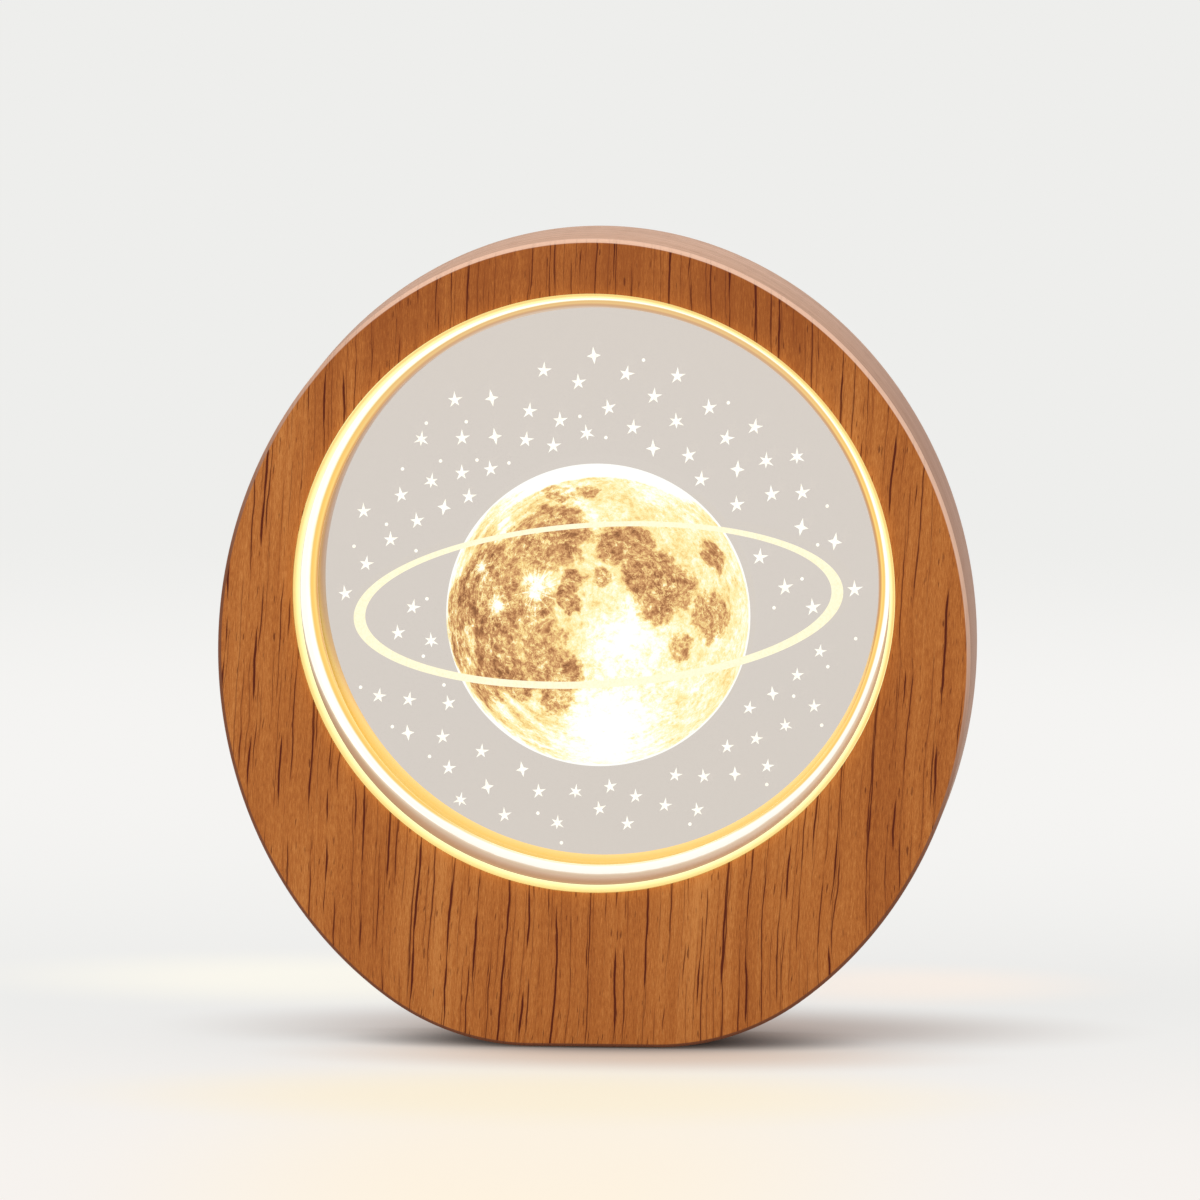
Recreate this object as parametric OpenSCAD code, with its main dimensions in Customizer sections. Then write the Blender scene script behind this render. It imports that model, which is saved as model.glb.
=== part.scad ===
// Round-window night light: an oval veneered body with a flat base, a lit ring round its
// window, and a clear disc in the window that carries a frosted moon, an orbit and stars.
// X runs to the right, Y from the front face to the back, Z up from the resting surface.

/* [Body] */
// Wood beside the window, at its widest place
side_wall = 14.75; // [13:0.25:20]
// Wood above the window
top_wall = 10.75; // [9.5:0.25:14]
// Wood between the window and the flat base
base_wall = 30.55; // [27:0.05:38]
// Height of the oval that the flat base cuts away
base_cut = 4; // [3:0.5:6]
// Radius of the rounded ends of the flat base
corner_r = 48; // [30:1:50]
// Thickness of the veneer on the front
veneer_t = 1; // [0.6:0.1:1.4]
// Thickness of the bent band round the rim
band_t = 0.8; // [0.5:0.1:1.4]
// Thickness of the back panel
back_t = 3; // [2.6:0.1:3.4]
// Gap between the back panel and the band round it
panel_gap = 0.15; // [0.1:0.05:0.3]

/* [Feet] */
// Length of a foot pad, front to back
foot_l = 18; // [14:0.5:18.5]
// Width of a foot pad
foot_w = 8; // [6:0.25:8.5]
// Thickness of a foot pad
foot_t = 1.2; // [1:0.1:1.8]
// How far a foot pad stands out of the base
foot_lift = 0.2; // [0.1:0.05:0.5]
// Distance from the middle to the centre of a foot pad
foot_x = 7.5; // [6:0.25:8]

/* [Window rings] */
// Diameter of the window at the front face
hole_d = 118.5; // [105:0.5:132]
// How far the ring seat lies outside the window's edge
seat_w = 1.75; // [1.4:0.05:2.2]
// Depth of the shoulder that the front ring bears on
seat_depth = 2.2; // [1.8:0.1:2.6]
// Radial clearance of the rings in their seat
ring_gap = 0.15; // [0.1:0.05:0.3]
// Radial width of the sloped lip of the front ring
lip_w = 1.1; // [0.9:0.1:1.4]
// Thickness of the flange of the front ring
lip_flange = 1.2; // [1:0.1:1.6]
// Width of the shadow groove between the front ring and the sleeve
groove_w = 0.3; // [0.2:0.05:0.5]
// Depth of the sleeve ring
sleeve_len = 7.6; // [6.4:0.1:8]
// How far the sleeve narrows over its depth
sleeve_taper = 1.1; // [0.8:0.1:1.4]
// Thickness of the white diffuser ring
glow_t = 1.6; // [1.2:0.1:2]
// Radial width of the white diffuser ring's lit face
glow_w = 1.6; // [1.2:0.1:2]
// How far the rear ring narrows over its depth
rear_taper = 1.4; // [0.6:0.1:1.8]
// Thickness of the flange of the rear ring
rear_flange = 2.8; // [2.4:0.1:3.4]
// Wall of the rear ring where it passes through the back panel
rear_wall = 1.9; // [1.5:0.1:2.4]
// How far the ring faces stay below the front and back faces
flush_gap = 0.1; // [0.05:0.05:0.3]

/* [Clear disc] */
// Thickness of the clear disc
disc_t = 6; // [5:0.25:6.5]
// Thickness of the gaskets on both sides of the disc
gasket_t = 0.3; // [0.2:0.05:0.5]
// Radial width of the gaskets
gasket_w = 2.4; // [1.8:0.1:2.8]
// Thickness of the frosted layer on the front of the disc
frost_t = 0.2; // [0.1:0.05:0.25]
// Radius of the moon
moon_r = 30; // [26:0.5:31]
// Moon's centre, below the window's centre
moon_drop = 5.75; // [4:0.25:8]
// Turn of the moon's face, anticlockwise
moon_tilt = 7; // [-20:1:20]
// Half the length of the orbit, to its outer edge
orbit_a = 48.4; // [44:0.2:49.4]
// Half the height of the orbit, to its outer edge
orbit_b = 16.4; // [13:0.2:19]
// Width of the orbit's line at its two ends
orbit_end_w = 2.3; // [1.6:0.1:2.8]
// Width of the orbit's line where it crosses the moon
orbit_mid_w = 1.2; // [0.8:0.1:1.6]
// Tilt of the orbit, its right end up
orbit_tilt = 4; // [0:0.5:10]
// Orbit's centre, below the window's centre
orbit_drop = 3.75; // [2:0.25:6]
// Number of places where a star may stand
star_count = 110; // [60:1:130]
// Tip radius of the largest stars
star_r = 1.9; // [1.2:0.05:2]
// Number of places where a small dot may stand
dot_count = 80; // [30:1:120]
// Radius of a small dot
dot_r = 0.35; // [0.25:0.05:0.5]
// Clear margin between the stars and the moon, the orbit and the rings
star_margin = 1.2; // [0.8:0.1:2]

/* [Light strip] */
// Radial room for the light strip, between the disc and the ring seat
led_room = 2; // [1.7:0.1:2.4]
// Thickness of the flexible strip
strip_t = 0.35; // [0.25:0.05:0.5]
// Width of the flexible strip
strip_w = 5; // [4:0.25:5.5]
// Number of light chips round the disc
led_count = 36; // [24:1:48]
// Length of a light chip along the strip
chip_l = 3.5; // [2.8:0.1:3.8]
// Width of a light chip
chip_w = 2.8; // [2:0.1:3.2]
// Height of a light chip
chip_t = 0.7; // [0.5:0.05:0.9]
// Diameter of the leads
lead_d = 1; // [0.8:0.05:1.1]

/* [Electronics pocket] */
// Height of the pocket's floor above the base
pocket_lift = 6.8; // [6:0.2:7.4]
// Corner radius of the pocket
pocket_r = 3; // [2:0.25:4]
// Width of the slot that leads from the pocket to the light strip
slot_w = 6; // [4.5:0.5:8]
// Length of the board
board_w = 56; // [52:0.5:62]
// Height of the board
board_h = 14; // [13.4:0.2:16]
// Thickness of the board
board_t = 1.6; // [1:0.1:1.8]
// Air between each end of the board and the pocket
board_end_gap = 2; // [1:0.1:3]
// Air above and below the board in the pocket
board_side_gap = 1; // [0.5:0.1:1.5]
// Length of the cell
cell_w = 34; // [30:0.5:38]
// Height of the cell
cell_h = 13; // [11:0.25:14.5]
// Thickness of the cell
cell_t = 7; // [5.5:0.1:7.5]
// Thickness of the foam tape under the cell
tape_t = 0.8; // [0.5:0.1:1.2]
// Air between the cell and the board
cell_gap = 1; // [0.8:0.1:1.4]
// Air between the cell's free end and the pocket
cell_end_gap = 2.2; // [1:0.1:3]
// Room beside the cell in which its leads turn towards the board
lead_turn = 4; // [3:0.1:5]

/* [Fasteners] */
// Shank diameter of the back panel's screws
screw_d = 2.4; // [2:0.1:3]
// Head diameter of the back panel's screws
head_d = 4.8; // [4.2:0.1:5.2]
// Length of the back panel's screws
screw_len = 12; // [8:0.5:14]
// Clearance of a screw in its hole
screw_gap = 0.1; // [0.05:0.05:0.2]
// Shank diameter of the board's screws
board_screw_d = 1.8; // [1.4:0.1:2.2]
// Length of the board's screws below their heads
board_screw_len = 7; // [5:0.5:8]

/* [Power button] */
// Diameter of the button's cap
button_d = 9.8; // [8:0.2:11]
// Travel of the button when it is pressed
button_travel = 1; // [0.6:0.1:1.2]
// Running clearance round the button and its plunger
button_gap = 0.1; // [0.05:0.05:0.15]
// Wall of the bush that guides the button
bezel_wall = 1.2; // [0.9:0.1:1.5]
// Air between the switch and the button's flange when the button is pressed
press_gap = 0.6; // [0.3:0.05:1]
// Side of the square switch under the button
switch_w = 6; // [5:0.2:7]
// Height of the switch above the board
switch_h = 3.4; // [3:0.1:3.6]
// Diameter of the switch's plunger
plunger_d = 3.4; // [2.8:0.1:3.8]

/* [Charging port] */
// Outer width of the port's metal shell
port_w = 8.94; // [8.8:0.02:9.1]
// Outer height of the port's metal shell
port_h = 3.26; // [3.16:0.02:3.36]
// Sheet thickness of the port's metal shell
port_wall = 0.3; // [0.25:0.05:0.35]
// How far the shell's mouth stays below the back face
port_sink = 0.4; // [0.3:0.05:0.8]
// Wall of the port's trim round the shell
trim_rim = 1.5; // [1.2:0.1:1.8]
// Width of the lip of the port's trim
trim_lip_w = 0.8; // [0.6:0.1:1]
// Thickness of the lip of the port's trim
trim_lip_t = 0.7; // [0.5:0.1:1]
// Diameter of the light pipe of the charging light
pipe_d = 2; // [1.6:0.1:2.2]

/* [Hidden] */
$fn = 96;

// A cut runs this far past the face that it opens
over = 1;
// Least gap between two pieces that don't touch
hair = 0.05;
// Number of sides of large and small round shapes
large_sides = 144;
small_sides = 48;

// Oval outline, as wide and high as the window and the wood round it
base_z = foot_lift;
frame_w = hole_d + 2 * side_wall;
frame_h = base_z + base_wall + hole_d + top_wall;
oval_a = frame_w / 2;
oval_b = (frame_h + base_cut) / 2;
oval_z = frame_h - oval_b;
side_steps = 24;
top_steps = 30;
corner_steps = 8;

// Radii of the rings, from the window's edge inwards
hole_r = hole_d / 2;
hole_z = frame_h - top_wall - hole_r;
seat_r = hole_r + seat_w;
ring_r = seat_r - ring_gap;
nose_r = hole_r - ring_gap;
lip_in_r = nose_r - lip_w;
sleeve_in_r = lip_in_r - sleeve_taper;
glow_in_r = sleeve_in_r - glow_w;
rear_in_r = glow_in_r - rear_taper;
rear_nose_r = glow_in_r + rear_wall;
panel_hole_r = rear_nose_r + ring_gap;
disc_r = seat_r - led_room;
gasket_out_r = disc_r - ring_gap;

// Depths of the stack, counted from the front face
lip_d = seat_depth + lip_flange;
glow_d = lip_d + sleeve_len;
gasket_d = glow_d + glow_t;
disc_d = gasket_d + gasket_t;
disc_back_d = disc_d + disc_t;
rear_d = disc_back_d + gasket_t;
panel_d = rear_d + rear_flange;
frame_t = panel_d + back_t;
chamfer = 0.25;
strip_d = disc_d + (disc_t - strip_w) / 2;
strip_mid_d = strip_d + strip_w / 2;
strip_r = seat_r - hair - strip_t;
// How far a flat chip stands off the strip's round inner face at its middle
chip_sag = strip_r - sqrt(pow(strip_r, 2) - pow(chip_l / 2, 2));
chip_r = strip_r - hair - chip_sag - chip_t;

// Button stack between the back panel and the board, counted from the front face
bezel_in_d = panel_d + 0.2;
button_rest_gap = 0.3;
button_flange_t = 0.7;
button_flange_w = 0.9;
button_flange_d = bezel_in_d - button_rest_gap - button_flange_t;
switch_top_d = button_flange_d - button_travel - press_gap;
button_sink = 0.2;
dish_depth = 0.3;
dish_r = 4 * button_d;
bezel_flange_w = 1;
bezel_flange_t = 0.8;
bezel_in_dia = button_d + 2 * button_gap;
bezel_out_dia = bezel_in_dia + 2 * bezel_wall;

// Depths in the electronics pocket
board_top_d = switch_top_d - switch_h;
board_d = board_top_d - board_t;
cell_d = board_d - cell_gap - cell_t;
well_d = cell_d - tape_t;
switch_floor = 0.6;
plunger_end_gap = 0.4;
plunger_low_d = board_top_d + switch_floor + button_travel + plunger_end_gap;

// Pocket, as large as the board and the air round it, with a deeper well for the cell
pocket_w = board_w + 2 * board_end_gap;
pocket_h = board_h + 2 * board_side_gap;
pocket_z = base_z + pocket_lift + pocket_h / 2;
lead_wall_gap = 0.3;
guard_t = 1;
guard_inset = 1;
well_w = cell_end_gap + cell_w + guard_t + lead_turn + lead_d / 2 + lead_wall_gap;
cell_x = well_w / 2 - cell_end_gap - cell_w / 2;
cell_round = 1.2;
board_round = 1;
tape_inset = 1.75;
battery_lead_x = lead_wall_gap + lead_d / 2 - well_w / 2;

// Frosted pattern
moon_z = hole_z - moon_drop;
orbit_z = hole_z - orbit_drop;
orbit_steps = 72;
sea_steps = 28;
limb_w = 0.7;
star_reach = rear_in_r - star_margin - star_r;
star_inner = moon_r + star_margin + star_r;
star_stray = 0.9;
star_thinning = 1.25;
// Latitude, longitude and radius of each grey plain, as angles on a map of the moon
SEA_ANGLES = [
    [34, -18, 16.5], [27, 15, 10], [9, 27, 13], [17.5, 57, 7], [-5, 48, 10], [-16, 32, 5],
    [-19, -22, 12], [-23, -40, 6.5], [20, -50, 16], [2, -44, 15], [8, -60, 12], [7, -27, 9],
    [14, -8, 4], [6, -12, 4.5], [13, 4, 4], [56, 3, 4.5], [58, -16, 4.5]
];

// Screw places, as angles about the window's centre
SCREW_ANGLES = [90, 35, 145, -12, 192, -59, 239];
screw_head_h = (head_d - screw_d) / 2;
board_screw_x = (well_w + board_w) / 4;
board_head_d = 2 * board_screw_d;
board_head_h = 1.2;
board_slot_w = 0.6 * board_head_d;
board_slot_t = 0.5;

// Parts on the board: places along X, and heights from the pocket's middle
end_x = board_w / 2 - 4.8;
side_dz = board_h / 2 - 1.4;
usb_dz = -3;
button_x = 16.5;
indicator_x = 8.6;
indicator_dz = -side_dz;
indicator = [1.6, 0.8, 0.7];
indicator_gap = 0.3;
pipe_flange_w = 0.4;
pipe_flange_t = 0.8;
lead_x = 1.2;
lead_drop = 2;
lead_end_dz = 4;
lead_lift = 0.7;
lead_mid_d = board_top_d + lead_lift + lead_d / 2;
plug_w = 5.8;
plug_h = 4.2;
plug_l = 5;
header_l = 5;
header_wall = 0.6;
plug_in = 3;
plug_dz = -3;
plug_start = 2.6;
plug_x = battery_lead_x + plug_start;
battery_lead_pitch = 2;
lead_hole_gap = 0.5;
tongue_w = 6.7;
tongue_t = 0.7;
tongue_sink = 1;
shell_floor_t = 1;
row_dz = 4.4;
charge_chip_x = -15.4;
charge_chip_size = [4.9, 2.2, 1.5];
charge_legs = 4;
inductor_x = -9.6;
driver_chip_x = 8;
driver_chip_size = [2.9, 1.6, 1.1];
driver_legs = 3;
leg_w = 0.4;
leg_out = 0.9;
leg_t = 0.2;
inductor_w = 4;
inductor_h = 2;
capacitor = [2, 1.25, 1.1];
resistor = [1.6, 0.8, 0.5];
CAPACITOR_PLACES = [[-5.4, side_dz], [-5.4, 3.6], [4.2, side_dz], [-end_x, side_dz]];
RESISTOR_PLACES = [
    [4.2, 3.8], [4.2, 2.4], [-5.4, 1.9], [-end_x, -side_dz], [end_x, side_dz], [end_x, -side_dz]
];

// Place along Y of a depth behind the front face
function y_at(depth) = depth - frame_t / 2;

function frac(v) = v - floor(v);

// Point of the oval's rim at parameter t, moved inwards by d
function rim_point(t, d) =
    let (nx = oval_b * cos(t), nz = oval_a * sin(t), m = norm([nx, nz]))
    [oval_a * cos(t) - d * nx / m, oval_z + oval_b * sin(t) - d * nz / m];

// Parameter at which a corner circle touches the oval and stands on the base
function corner_param(lo, hi, n) =
    let (mid = (lo + hi) / 2)
    n == 0 ? mid
    : rim_point(mid, corner_r)[1] < base_z + corner_r ? corner_param(mid, hi, n - 1)
    : corner_param(lo, mid, n - 1);

corner_t = corner_param(-90, 0, 40);
corner_centre = rim_point(corner_t, corner_r);
corner_angle = atan2(oval_a * sin(corner_t), oval_b * cos(corner_t));

// Right half of the outline, from the base up to the top, moved inwards by d
function half_outline(d) = concat(
    [for (i = [0 : corner_steps - 1])
        let (a = -90 + (corner_angle + 90) * i / corner_steps)
        corner_centre + (corner_r - d) * [cos(a), sin(a)]],
    [for (i = [0 : side_steps - 1]) rim_point(corner_t * (1 - i / side_steps), d)],
    [for (i = [0 : top_steps - 1]) rim_point(90 * i / top_steps, d)]
);

// Distance from the window's centre to the outline, at an angle
function rim_reach(angle) =
    let (c = cos(angle), s = sin(angle), h = hole_z - oval_z,
         qa = pow(c / oval_a, 2) + pow(s / oval_b, 2),
         qb = 2 * h * s / pow(oval_b, 2),
         qc = pow(h / oval_b, 2) - 1)
    (-qb + sqrt(qb * qb - 4 * qa * qc)) / (2 * qa);

// Screw place in X and Z, midway between the ring seat and the outline
function screw_place(angle) =
    let (r = (seat_r + rim_reach(angle)) / 2)
    [r * cos(angle), hole_z + r * sin(angle)];

// Corner points of a rectangle with rounded corners
function round_rect(w, h, r) =
    [for (q = [0 : 3], i = [0 : 5])
        let (a = 90 * q + 18 * i, sx = (q == 0 || q == 3) ? 1 : -1, sz = q < 2 ? 1 : -1)
        [sx * (w / 2 - r) + r * cos(a), sz * (h / 2 - r) + r * sin(a)]];

// Points of an ellipse
function ellipse(a, b) =
    [for (i = [0 : orbit_steps - 1]) [a * cos(i * 360 / orbit_steps), b * sin(i * 360 / orbit_steps)]];

// Places between the moon and the window's edge, laid as the seeds of a sunflower are, each a
// golden angle on from the last. They thin out towards the edge, and each strays a little.
function scatter(i, count, shift) =
    let (share = pow((i - 0.5) / count, star_thinning),
         even_r = sqrt(pow(star_inner, 2) + share * (pow(star_reach, 2) - pow(star_inner, 2))),
         r = even_r + 2 * star_stray * frac(shift + i * 0.755),
         aside = star_stray * (2 * frac(shift + i * 0.57) - 1),
         angle = 180 * (3 - sqrt(5)) * (i + shift) + atan(aside / r))
    [r * cos(angle), moon_z + r * sin(angle)];

// Distance of a place from the middle of the orbit's line
function orbit_gap(p) =
    let (x = p[0], z = p[1] - orbit_z,
         a = orbit_a - orbit_end_w / 2, b = orbit_b - orbit_mid_w / 2,
         u = x * cos(orbit_tilt) + z * sin(orbit_tilt),
         v = z * cos(orbit_tilt) - x * sin(orbit_tilt),
         share = norm([u / a, v / b]))
    abs(share - 1) * share / norm([u / (a * a), v / (b * b)]);

// A place is free when it is inside the window and off the orbit's line
function is_free(p, size) =
    norm([p[0], p[1] - hole_z]) < rear_in_r - star_margin - size
    && orbit_gap(p) > star_margin + size;

STARS = [for (i = [1 : star_count])
    let (p = scatter(i, star_count, 0), size = star_r * (0.8 + 0.2 * frac(i * 0.618)))
    if (is_free(p, size)) [p[0], p[1], size, 24 * frac(i * 0.414) - 12, 4 + round(0.3 + 1.4 * frac(i * 0.732))]];

DOTS = [for (i = [1 : dot_count])
    let (p = scatter(i, dot_count, 0.5), gaps = [for (s = STARS) norm([s[0] - p[0], s[1] - p[1]])])
    if (is_free(p, dot_r) && min(gaps) > star_r + star_margin) p];

// A flat shape drawn in X and Z, as thick as the two depths say
module plate(from_d, to_d) {
    translate([0, y_at(to_d), 0])
        rotate([90, 0, 0])
            linear_extrude(height = to_d - from_d)
                children();
}

// A round shape about the window's axis, drawn as radius and depth
module turned() {
    translate([0, y_at(0), hole_z])
        rotate([-90, 0, 0])
            rotate_extrude($fn = large_sides)
                children();
}

// A plain cylinder along Y between two depths
module rod(x, z, dia, from_d, to_d) {
    translate([x, y_at(from_d), z])
        rotate([-90, 0, 0])
            cylinder(d = dia, h = to_d - from_d, $fn = dia < frame_t ? small_sides : large_sides);
}

// A box between two depths, centred on a place in X and Z
module block(x, z, w, h, from_d, to_d) {
    translate([x - w / 2, y_at(from_d), z - h / 2])
        cube([w, to_d - from_d, h]);
}

// The body's outline, moved inwards by d
module outline(d) {
    right = half_outline(d);
    left = [for (i = [len(right) - 1 : -1 : 0]) [-right[i][0], right[i][1]]];
    top = [[0, frame_h - d]];
    polygon(concat(right, top, left));
}

module outline_plate(d, from_d, to_d) {
    plate(from_d, to_d) outline(d);
}

module window_cut(r, from_d, to_d) {
    rod(0, hole_z, 2 * r, from_d, to_d);
}

module foot_place(side) {
    translate([side * foot_x, 0, 0]) children();
}

module frame_core() {
    color([0.78, 0.62, 0.42])
        difference() {
            outline_plate(band_t, veneer_t, panel_d);
            window_cut(hole_r, 0, frame_t);
            window_cut(seat_r, seat_depth, frame_t);
            plate(board_d, panel_d + over)
                translate([0, pocket_z]) polygon(round_rect(pocket_w, pocket_h, pocket_r));
            plate(well_d, panel_d + over)
                translate([0, pocket_z]) polygon(round_rect(well_w, pocket_h, pocket_r));
            block(0, (pocket_z + hole_z - hole_r) / 2, slot_w, hole_z - hole_r - pocket_z,
                strip_d, panel_d + over);
            for (angle = SCREW_ANGLES)
                let (p = screw_place(angle))
                rod(p[0], p[1], screw_d + 2 * screw_gap, frame_t - screw_len - over, frame_t);
            for (side = [-1, 1])
                rod(side * board_screw_x, pocket_z, board_screw_d + 2 * screw_gap,
                    board_top_d - board_screw_len - over / 2, frame_t);
            for (side = [-1, 1])
                foot_place(side) foot_shape(foot_t + hair, hair);
        }
}

module front_veneer() {
    color([0.72, 0.44, 0.2])
        difference() {
            outline_plate(0, 0, veneer_t);
            window_cut(hole_r, -over, frame_t);
        }
}

module edge_band() {
    color([0.83, 0.68, 0.58])
        difference() {
            outline_plate(0, veneer_t, frame_t);
            outline_plate(band_t, 0, frame_t + over);
            for (side = [-1, 1])
                foot_place(side) foot_shape(foot_t + hair, hair);
        }
}

module back_panel() {
    color([0.7, 0.45, 0.22])
        difference() {
            outline_plate(band_t + panel_gap, panel_d, frame_t);
            window_cut(panel_hole_r, 0, frame_t + over);
            for (angle = SCREW_ANGLES)
                let (p = screw_place(angle))
                countersink(p[0], p[1]);
            rod(button_x, pocket_z, bezel_out_dia + 2 * hair, 0, frame_t + over);
            rod(button_x, pocket_z, bezel_out_dia + 2 * (bezel_flange_w + hair),
                frame_t - bezel_flange_t - hair, frame_t + over);
            plate(0, frame_t + over) port_shape(trim_rim + hair);
            plate(frame_t - trim_lip_t - hair, frame_t + over) port_shape(trim_rim + trim_lip_w + hair);
            rod(indicator_x, pocket_z + indicator_dz, pipe_d + 2 * hair, 0, frame_t + over);
        }
}

// Clearance hole and cone for one screw of the back panel
module countersink(x, z) {
    rod(x, z, screw_d + 2 * screw_gap, 0, frame_t + over);
    translate([x, y_at(frame_t - screw_head_h - screw_gap), z])
        rotate([-90, 0, 0])
            cylinder(d1 = screw_d + 2 * screw_gap, d2 = head_d + 4 * screw_gap,
                h = screw_head_h + screw_gap + hair, $fn = small_sides);
}

module cover_screws() {
    color([0.3, 0.28, 0.26])
        for (angle = SCREW_ANGLES)
            let (p = screw_place(angle))
            wood_screw(p[0], p[1]);
}

// Countersunk screw with a cross recess, its head just below the back face
module wood_screw(x, z) {
    head_top_d = frame_t - flush_gap;
    point_h = screw_d;
    cross_w = head_d * 0.55;
    cross_t = 0.6;
    difference() {
        union() {
            rod(x, z, screw_d, head_top_d - screw_len + point_h, head_top_d);
            translate([x, y_at(head_top_d - screw_head_h), z])
                rotate([-90, 0, 0])
                    cylinder(d1 = screw_d, d2 = head_d, h = screw_head_h, $fn = small_sides);
            translate([x, y_at(head_top_d - screw_len), z])
                rotate([-90, 0, 0])
                    cylinder(d1 = screw_d / 4, d2 = screw_d, h = point_h, $fn = small_sides);
        }
        block(x, z, cross_w, cross_t, head_top_d - screw_head_h, frame_t);
        block(x, z, cross_t, cross_w, head_top_d - screw_head_h, frame_t);
    }
}

// Pad shape, or with a margin the recess that it sits in
module foot_shape(height, margin) {
    translate([0, 0, -margin])
        linear_extrude(height = height + margin)
            polygon(round_rect(foot_w + 2 * margin, foot_l + 2 * margin, foot_w / 4));
}

module foot_pads() {
    color([0.22, 0.21, 0.2])
        for (side = [-1, 1])
            foot_place(side) foot_shape(foot_t, 0);
}

// Translucent ring whose sloped lip shows at the front face
module lip_ring() {
    color([1, 0.86, 0.5])
        turned()
            polygon([
                [nose_r - chamfer, flush_gap], [nose_r, flush_gap], [nose_r, seat_depth],
                [ring_r, seat_depth], [ring_r, lip_d], [lip_in_r, lip_d], [lip_in_r, lip_d - groove_w]
            ]);
}

module sleeve_ring() {
    color([0.8, 0.62, 0.48])
        turned()
            polygon([
                [lip_in_r + groove_w, lip_d], [ring_r, lip_d], [ring_r, glow_d],
                [sleeve_in_r, glow_d], [lip_in_r, lip_d + groove_w], [lip_in_r + groove_w, lip_d + groove_w]
            ]);
}

module diffuser_ring() {
    color([1, 0.97, 0.88])
        turned()
            polygon([
                [glow_in_r + chamfer, glow_d], [ring_r, glow_d], [ring_r, gasket_d],
                [glow_in_r, gasket_d], [glow_in_r, glow_d + chamfer]
            ]);
}

module rear_ring() {
    color([1, 0.76, 0.36])
        turned()
            polygon([
                [glow_in_r, rear_d], [ring_r, rear_d], [ring_r, panel_d], [rear_nose_r, panel_d],
                [rear_nose_r, frame_t - flush_gap], [rear_in_r + chamfer, frame_t - flush_gap],
                [rear_in_r, frame_t - flush_gap - chamfer]
            ]);
}

module gasket(from_d) {
    turned()
        translate([gasket_out_r - gasket_w, from_d]) square([gasket_w, gasket_t]);
}

module front_gasket() {
    color([0.9, 0.9, 0.86]) gasket(gasket_d);
}

module rear_gasket() {
    color([0.9, 0.9, 0.86]) gasket(disc_back_d);
}

module crystal_disc() {
    color([0.85, 0.87, 0.88, 0.35])
        turned()
            polygon([
                [0, disc_d], [disc_r - chamfer, disc_d], [disc_r, disc_d + chamfer],
                [disc_r, disc_back_d - chamfer], [disc_r - chamfer, disc_back_d], [0, disc_back_d]
            ]);
}

// Frosted layer on the front face of the disc
module frosted() {
    plate(disc_d - frost_t, disc_d) children();
}

module orbit_shape() {
    translate([0, orbit_z])
        rotate(orbit_tilt)
            difference() {
                polygon(ellipse(orbit_a, orbit_b));
                polygon(ellipse(orbit_a - orbit_end_w, orbit_b - orbit_mid_w));
            }
}

// Grey plains of the moon, each a flattened circle towards the moon's edge
module seas_shape() {
    intersection() {
        circle(r = moon_r - limb_w);
        union()
            for (sea = SEA_ANGLES)
                translate(moon_r * [cos(sea[0]) * sin(sea[1]), sin(sea[0])])
                    polygon([for (i = [0 : sea_steps - 1])
                        let (a = i * 360 / sea_steps,
                             wave = 1 + 0.07 * sin(3 * a + sea[0]) + 0.05 * sin(5 * a + sea[1]))
                        moon_r * sin(sea[2]) * wave * [cos(a) * cos(sea[1]), sin(a) * cos(sea[0])]]);
    }
}

module moon_lands() {
    color([0.99, 0.93, 0.74])
        frosted()
            difference() {
                translate([0, moon_z])
                    difference() {
                        circle(r = moon_r);
                        rotate(moon_tilt) seas_shape();
                    }
                orbit_shape();
            }
}

module moon_seas() {
    color([0.8, 0.63, 0.38])
        frosted()
            difference() {
                translate([0, moon_z]) rotate(moon_tilt) seas_shape();
                orbit_shape();
            }
}

module orbit_line() {
    color([1, 0.96, 0.76]) frosted() orbit_shape();
}

// Flat star whose upper tip is the longest and whose other tips are short and long by turns
module star_shape(size, turn, tips) {
    notch = 0.3;
    short_tip = 0.76;
    long_tip = 0.92;
    polygon([for (i = [0 : 2 * tips - 1])
        let (a = 90 + turn + i * 180 / tips,
             r = i % 2 == 1 ? notch : i == 0 ? 1 : i % 4 == 0 ? long_tip : short_tip)
        size * r * [cos(a), sin(a)]]);
}

module star_field() {
    color([1, 0.97, 0.84])
        frosted() {
            for (s = STARS)
                translate([s[0], s[1]]) star_shape(s[2], s[3], s[4]);
            for (p = DOTS)
                translate(p) circle(r = dot_r, $fn = 8);
        }
}

module led_strip() {
    color([0.96, 0.94, 0.86])
        turned()
            translate([strip_r, strip_d]) square([strip_t, strip_w]);
}

module led_chips() {
    color([1, 0.9, 0.55])
        for (i = [0 : led_count - 1])
            translate([0, 0, hole_z])
                rotate([0, (i + 0.5) * 360 / led_count, 0])
                    translate([-chip_l / 2, y_at(strip_mid_d - chip_w / 2), chip_r])
                        cube([chip_l, chip_w, chip_t]);
}

// A round lead along straight stretches between points given as X, depth and Z
module lead_run(points) {
    ends = [for (p = points) [p[0], y_at(p[1]), p[2]]];
    for (i = [1 : len(ends) - 1])
        let (step = ends[i] - ends[i - 1])
        translate(ends[i - 1])
            rotate([0, acos(step[2] / norm(step)), atan2(step[1], step[0])])
                cylinder(d = lead_d, h = norm(step), $fn = 24);
    for (i = [1 : len(ends) - 2])
        translate(ends[i]) sphere(d = lead_d, $fn = 24);
}

// Two leads from the strip, down through the slot and round to the board's face
module led_leads() {
    top_z = hole_z - seat_r + hair;
    turn_z = hole_z - seat_r - lead_drop;
    end_z = pocket_z + lead_end_dz;
    color([0.75, 0.12, 0.1])
        for (x = [-lead_x, lead_x])
            lead_run([
                [x, strip_mid_d, top_z], [x, strip_mid_d, turn_z], [x, lead_mid_d, turn_z],
                [x, lead_mid_d, end_z], [x, board_top_d, end_z]
            ]);
}

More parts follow.
